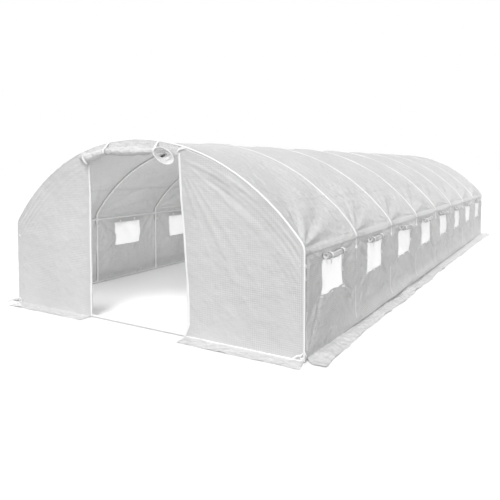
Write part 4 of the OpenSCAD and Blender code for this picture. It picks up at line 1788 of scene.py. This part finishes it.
@dataclass(frozen=True)
class GroundFlaps:
    """The loose foot of the cover, which lies out on the ground along the sides and beside the doors."""

    finishes: Finishes
    side_w: float = 0.176
    side_half: float = 4.955
    inner_x: float = 1.997
    end_w: float = 0.165
    inner_y: float = 5.0125
    from_x: float = 0.70
    to_x: float = 2.0
    riser: float = 0.075
    # Heights of the flap on the ground, of its root at the wall, and of its wrinkles.
    lie_z: float = 0.0015
    root: float = 0.010
    ruffle: float = 0.022
    wrinkle: float = 0.010
    trodden: float = 0.013
    crumple: float = 0.030
    # How the free edges wander.
    side_edge: tuple[Ripple, ...] = (
        Ripple(0.018, 0.55, 1.0),
        Ripple(0.011, 0.12, 1.0),
        Ripple(0.005, 0.045, 1.0),
    )
    end_edge: tuple[Ripple, ...] = (Ripple(0.012, 0.4, 1.0), Ripple(0.006, 0.1, 1.0))
    # How far the loose corners spread past the wall's ends.
    corner: float = 0.070
    tie_w: float = 0.014
    # Places along the four tie ends of a corner, for the back of the right side.
    tie_ends: tuple[tuple[Triple, ...], ...] = (
        ((2.008, 5.026, 0.105), (2.030, 5.040, 0.098), (2.044, 5.046, 0.070), (2.040, 5.050, 0.045)),
        ((2.008, 5.026, 0.060), (2.034, 5.050, 0.052), (2.052, 5.090, 0.034), (2.066, 5.140, 0.022)),
        ((1.985, 5.027, 0.062), (1.955, 5.040, 0.062), (1.930, 5.044, 0.046), (1.910, 5.060, 0.030)),
        ((2.002, 5.028, 0.085), (1.985, 5.046, 0.066), (1.996, 5.052, 0.044), (2.012, 5.040, 0.050)),
    )

    def wander(self, edge: tuple[Ripple, ...], run: Grid, seed: int) -> Grid:
        """Gives how far a free edge wanders along its run."""
        return sum(ripple.at(run, 0 * run, seed + number) for number, ripple in enumerate(edge, 3))

    def lie(self, run: Grid, across: Grid, seed: int) -> Grid:
        """Gives the height of the wrinkled flap above the ground.

        Args:
            run: places along the wall.
            across: places from the wall (0) to the free edge (1).
            seed: picks the wrinkles.

        Returns:
            Heights above the ground.
        """
        slant = run + 0.10 * across
        big = np.clip(waves(slant / 0.17, across * 0.6, seed) - 0.15, 0, None)
        small = np.clip(waves(slant / 0.055, across * 1.1, seed + 1), 0, None)
        root = self.root * (1 - across) ** 2
        trodden = np.clip(waves(run / 0.075 - 1.6 * across, across * 2.2, seed + 2), 0, None)
        trodden = trodden * np.sin(np.pi * across)
        edges = self.ruffle * big * (0.25 + 0.65 * across) + self.wrinkle * small * (0.2 + 0.7 * across)
        return self.lie_z + root + edges + self.trodden * trodden

    def side_flap(self, side: Side) -> None:
        """Builds a flap along a side.

        Args:
            side: which side.
        """
        seed = 900 + side.value
        y = np.linspace(-self.side_half, self.side_half, 560)[None, :]
        across = np.linspace(0, 1, 12)[:, None]
        edge = self.wander(self.side_edge, y, seed)
        ends = 0.022 * smooth((np.abs(y) - 4.3) / 0.6) + 0.022 * smooth((np.abs(y) - 4.72) / 0.24)
        x = self.inner_x + across * (self.side_w - 0.004 + edge + ends)
        z = self.lie(y, across, seed) * (1 + 0.7 * smooth((np.abs(y) - 4.4) / 0.4) * (1 - across))
        crumple = np.clip(waves(y / 0.10 + 2 * across, across * 2.6, seed + 6), 0, None)
        crumple = crumple * np.sin(np.pi * across)
        z = z + self.crumple * crumple * smooth((np.abs(y) - 4.2) / 0.4)
        spread = self.corner * np.sign(y) * smooth(across / 0.45) * smooth((np.abs(y) - 4.55) / 0.41)
        # Behind the wall's foot the flap turns up over the base rail.
        rise = np.linspace(self.riser, self.riser / 4, 4)[:, None]
        flat_wall = np.zeros((len(rise), y.shape[1]))
        x = np.concatenate([flat_wall + self.inner_x + 0.004, np.broadcast_to(x, z.shape)])
        z = np.concatenate([z[:1] + rise, z])
        spread = np.concatenate([flat_wall, spread])
        points = join(side.value * x, y + spread, z)
        run = np.concatenate([-rise, across * self.side_w])
        cloth = ClothMesh()
        cloth.add(points, join(y, run))
        name = f"{side.name.lower()}_ground_flap"
        made = cloth.piece(f"{name}_cloth", self.finishes.trodden, "cover")
        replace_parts(made, name)

    def end_flaps(self, end: End) -> None:
        """Builds the two flaps beside a door.

        Args:
            end: which end.
        """
        cloth = ClothMesh()
        for hand in (1, -1):
            seed = 920 + hand + 10 * end.value
            x = np.linspace(self.from_x, self.to_x, 84)[None, :]
            across = np.linspace(0, 1, 12)[:, None]
            edge = self.wander(self.end_edge, x, seed)
            y = -self.inner_y - across * (self.end_w + edge)
            flare = hand * across * (0.05 if hand > 0 else -0.03) * smooth((x - 1.6) / 0.4)
            z = self.lie(x, across, seed)
            points = join(hand * x + flare, y, z)
            points = points * np.array([end.value, end.value, 1.0])
            cloth.add(points, join(hand * x, across * self.end_w))
        name = f"{end.name.lower()}_ground_flaps"
        made = cloth.piece(f"{name}_cloth", self.finishes.trodden, "cover")
        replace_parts(made, name)

    def corner_ties(self) -> None:
        """Builds the short tie ends that hold the cover's foot at the four corners."""
        cloth = ClothMesh()
        for side in Side:
            for end in End:
                for tail in self.tie_ends:
                    knots = np.linspace(0, 1, len(tail))
                    run = np.linspace(0, 1, 13)
                    path = np.stack([through(run, tuple(knots), tuple(part)) for part in zip(*tail)], axis=-1)
                    path = path * np.array([side.value, -end.value, 1.0])
                    cloth.add(*ribbon(path, np.array([0.0, 0.3, 1.0]), self.tie_w))
        cloth.piece("corner_tie_ends", self.finishes.tape, "tape")

    def build(self) -> None:
        """Builds the flaps of both sides and both ends, and the ties at the corners."""
        for side in Side:
            self.side_flap(side)
        for end in End:
            self.end_flaps(end)
        self.corner_ties()


@dataclass(frozen=True)
class SteelFrame:
    """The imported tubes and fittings, which keep their shapes and take their finishes."""

    finishes: Finishes
    tubes: tuple[str, ...] = (
        *(f"hoop_{number}" for number in range(1, 10)),
        "ridge_purlin",
        "left_purlin",
        "right_purlin",
        "left_base_rail",
        "right_base_rail",
        "front_base_rail",
        "back_base_rail",
        "front_door_posts",
        "back_door_posts",
    )
    fittings: tuple[str, ...] = (
        "ridge_connectors",
        "shoulder_connectors",
        "foot_connectors",
        "door_tees",
        "post_clips",
    )

    def dress(self, nodes: dict[str, Object]) -> None:
        """Gives each tube and fitting its finish.

        Args:
            nodes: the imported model's objects by name.
        """
        for names, material in ((self.tubes, self.finishes.tube), (self.fittings, self.finishes.fitting)):
            for name in names:
                nodes[name].data.materials.clear()
                nodes[name].data.materials.append(material)
                LOG.info("%s: %s", name, material.name)


@dataclass(frozen=True)
class BroadLamp:
    """A far lamp: its strength and the direction that its light comes from."""

    strength: float
    toward: Triple


@dataclass(frozen=True)
class SquareLamp:
    """A near lamp: its watts, its width and length, its place and the place that it faces."""

    watts: float
    wide: float
    long: float
    place: Triple
    target: Triple


@dataclass(frozen=True)
class Studio:
    """The camera, the soft light and the pale floor."""

    place: Triple = (4.007, -9.107, 1.734)
    tilt: float = 87.18
    yaw: float = 31.04
    lens: float = 37.84
    shift: Pair = (-0.0178, -0.1178)
    sky: float = 0.41
    spread: float = 22.0
    high_lamp: BroadLamp = BroadLamp(2.06, (0.10, -0.57, 0.81))
    low_lamp: BroadLamp = BroadLamp(0.90, (0.45, -0.85, 0.25))
    rear_lamp: BroadLamp = BroadLamp(1.00, (-0.78, 0.60, 0.15))
    # The nets alone take these two, because they shine where the sky comes through them.
    right_net_lamp: BroadLamp = BroadLamp(2.00, (0.90, -0.30, 0.30))
    left_net_lamp: BroadLamp = BroadLamp(1.40, (-0.90, -0.30, 0.30))
    room_lamp: SquareLamp = SquareLamp(18.5, 2.6, 7.0, (0.0, -0.5, 0.03), (0.0, -0.5, 1.0))
    door_lamp: SquareLamp = SquareLamp(18.0, 0.8, 0.8, (0.95, -4.30, 0.55), (-2.0, -1.2, 1.1))
    panel_lamp: SquareLamp = SquareLamp(3.6, 0.8, 0.8, (-1.30, -4.75, 0.70), (-1.30, -3.0, 0.70))
    far_lamp: SquareLamp = SquareLamp(190.0, 4.0, 4.0, (10.0, 6.0, 3.2), (2.0, 3.0, 1.0))
    floor: str = "F6F6F6"
    floor_bounce: str = "A8A8A8"
    floor_glow: float = 0.10

    def camera(self) -> None:
        """Puts the camera where the photograph was taken from."""
        data = bpy.data.cameras.new("camera")
        data.lens, data.sensor_width = self.lens, 36.0
        data.shift_x, data.shift_y = self.shift
        data.clip_end = 400.0
        made = bpy.data.objects.new("camera", data)
        made.location = self.place
        made.rotation_euler = (math.radians(self.tilt), 0, math.radians(self.yaw))
        bpy.context.scene.collection.objects.link(made)
        bpy.context.scene.camera = made

    def light(self, nets: Object) -> None:
        """Sets a white sky, broad lamps outside, square lamps inside the tunnel and one beside its far end.

        Args:
            nets: the window nets, which two of the lamps are kept for.
        """
        world = bpy.data.worlds.new("white_sky")
        world.use_nodes = True
        tree = world.node_tree
        tree.nodes.clear()
        seen = self.seen_straight(tree)
        sky = add_node(tree, "Background", {"Color": (1, 1, 1, 1), "Strength": self.sky})
        white = add_node(tree, "Background", {"Color": (1, 1, 1, 1), "Strength": 1.0})
        both = add_node(tree, "MixShader", None, {0: seen, 1: sky.outputs[0], 2: white.outputs[0]})
        add_node(tree, "OutputWorld", None, {0: both.outputs[0]})
        bpy.context.scene.world = world
        only_nets = bpy.data.collections.new("nets_for_their_lamps")
        only_nets.objects.link(nets)
        broad = (
            ("high_lamp", self.high_lamp, None),
            ("low_lamp", self.low_lamp, None),
            ("rear_lamp", self.rear_lamp, None),
            ("right_net_lamp", self.right_net_lamp, only_nets),
            ("left_net_lamp", self.left_net_lamp, only_nets),
        )
        for name, sizes, only in broad:
            data = bpy.data.lights.new(name, "SUN")
            data.energy, data.angle = sizes.strength, math.radians(self.spread)
            lamp = bpy.data.objects.new(name, data)
            lamp.rotation_euler = Vector(sizes.toward).to_track_quat("Z", "Y").to_euler()
            lamp.light_linking.receiver_collection = only
            bpy.context.scene.collection.objects.link(lamp)
        square = (
            ("room_lamp", self.room_lamp),
            ("door_lamp", self.door_lamp),
            ("panel_lamp", self.panel_lamp),
            ("far_lamp", self.far_lamp),
        )
        for name, sizes in square:
            data = bpy.data.lights.new(name, "AREA")
            data.shape = "RECTANGLE"
            data.energy, data.size, data.size_y = sizes.watts, sizes.wide, sizes.long
            lamp = bpy.data.objects.new(name, data)
            lamp.location = sizes.place
            back = Vector(sizes.place) - Vector(sizes.target)
            lamp.rotation_euler = back.to_track_quat("Z", "Y").to_euler()
            lamp.visible_camera = False
            lamp.visible_glossy = False
            bpy.context.scene.collection.objects.link(lamp)

    def seen_straight(self, tree: NodeTree) -> NodeSocket:
        """Tells rays that show the background from rays that carry light.

        Args:
            tree: the nodes to add to.

        Returns:
            One for camera, glossy and transmission rays.
        """
        path = add_node(tree, "LightPath").outputs
        seen = path["Is Camera Ray"]
        for ray in ("Is Glossy Ray", "Is Transmission Ray"):
            links = {0: seen, 1: path[ray]}
            seen = add_node(tree, "Math", {"operation": "MAXIMUM"}, links).outputs[0]
        return seen

    def ground(self) -> None:
        """Lays the pale floor, which keeps the shadow and returns less light than it shows."""
        mesh = bpy.data.meshes.new("floor")
        far = 150.0
        mesh.from_pydata([(-far, -far, 0), (far, -far, 0), (far, far, 0), (-far, far, 0)], [], [(0, 1, 2, 3)])
        made = bpy.data.objects.new("floor", mesh)
        made.location.z = -0.001
        bpy.context.scene.collection.objects.link(made)
        material, tree, out = start_material("plain_pale_floor")
        seen = self.seen_straight(tree)
        matt = add_node(tree, "BsdfDiffuse", {"Color": linear(self.floor)})
        glow = add_node(tree, "Emission", {"Color": (1, 1, 1, 1), "Strength": self.floor_glow})
        shown = add_node(tree, "AddShader", None, {0: matt.outputs[0], 1: glow.outputs[0]})
        dim = add_node(tree, "BsdfDiffuse", {"Color": linear(self.floor_bounce)})
        both = add_node(tree, "MixShader", None, {0: seen, 1: dim.outputs[0], 2: shown.outputs[0]})
        tree.links.new(both.outputs[0], out.inputs[0])
        mesh.materials.append(material)

    def build(self, nets: Object) -> None:
        """Sets the camera, the light, the floor and the plain view transform.

        Args:
            nets: the window nets, which two of the lamps are kept for.
        """
        self.camera()
        self.light(nets)
        self.ground()
        bpy.context.scene.view_settings.view_transform = "Standard"


def main() -> None:
    """Loads the frame, dresses it, and sets the studio."""
    logging.basicConfig(level=logging.INFO, format="%(message)s")
    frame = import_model()
    finishes = Finishes()
    SteelFrame(finishes).dress(frame["nodes"])
    sides = (SideCover(Side.RIGHT, finishes), SideCover(Side.LEFT, finishes))
    for side in sides:
        side.build()
    ties = ClothMesh()
    for end in (EndCover(End.FRONT, finishes), EndCover(End.BACK, finishes)):
        end.build()
        door = RolledDoor(end)
        door.roll()
        door.bands(ties)
    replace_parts(ties.piece("door_tie_bands", finishes.tape, "tape"), "door_ties")
    nets = Windows(sides, finishes).build()
    Buttons(sides, finishes).build()
    GroundFlaps(finishes).build()
    Studio().build(nets)


if __name__ == "__main__":
    main()
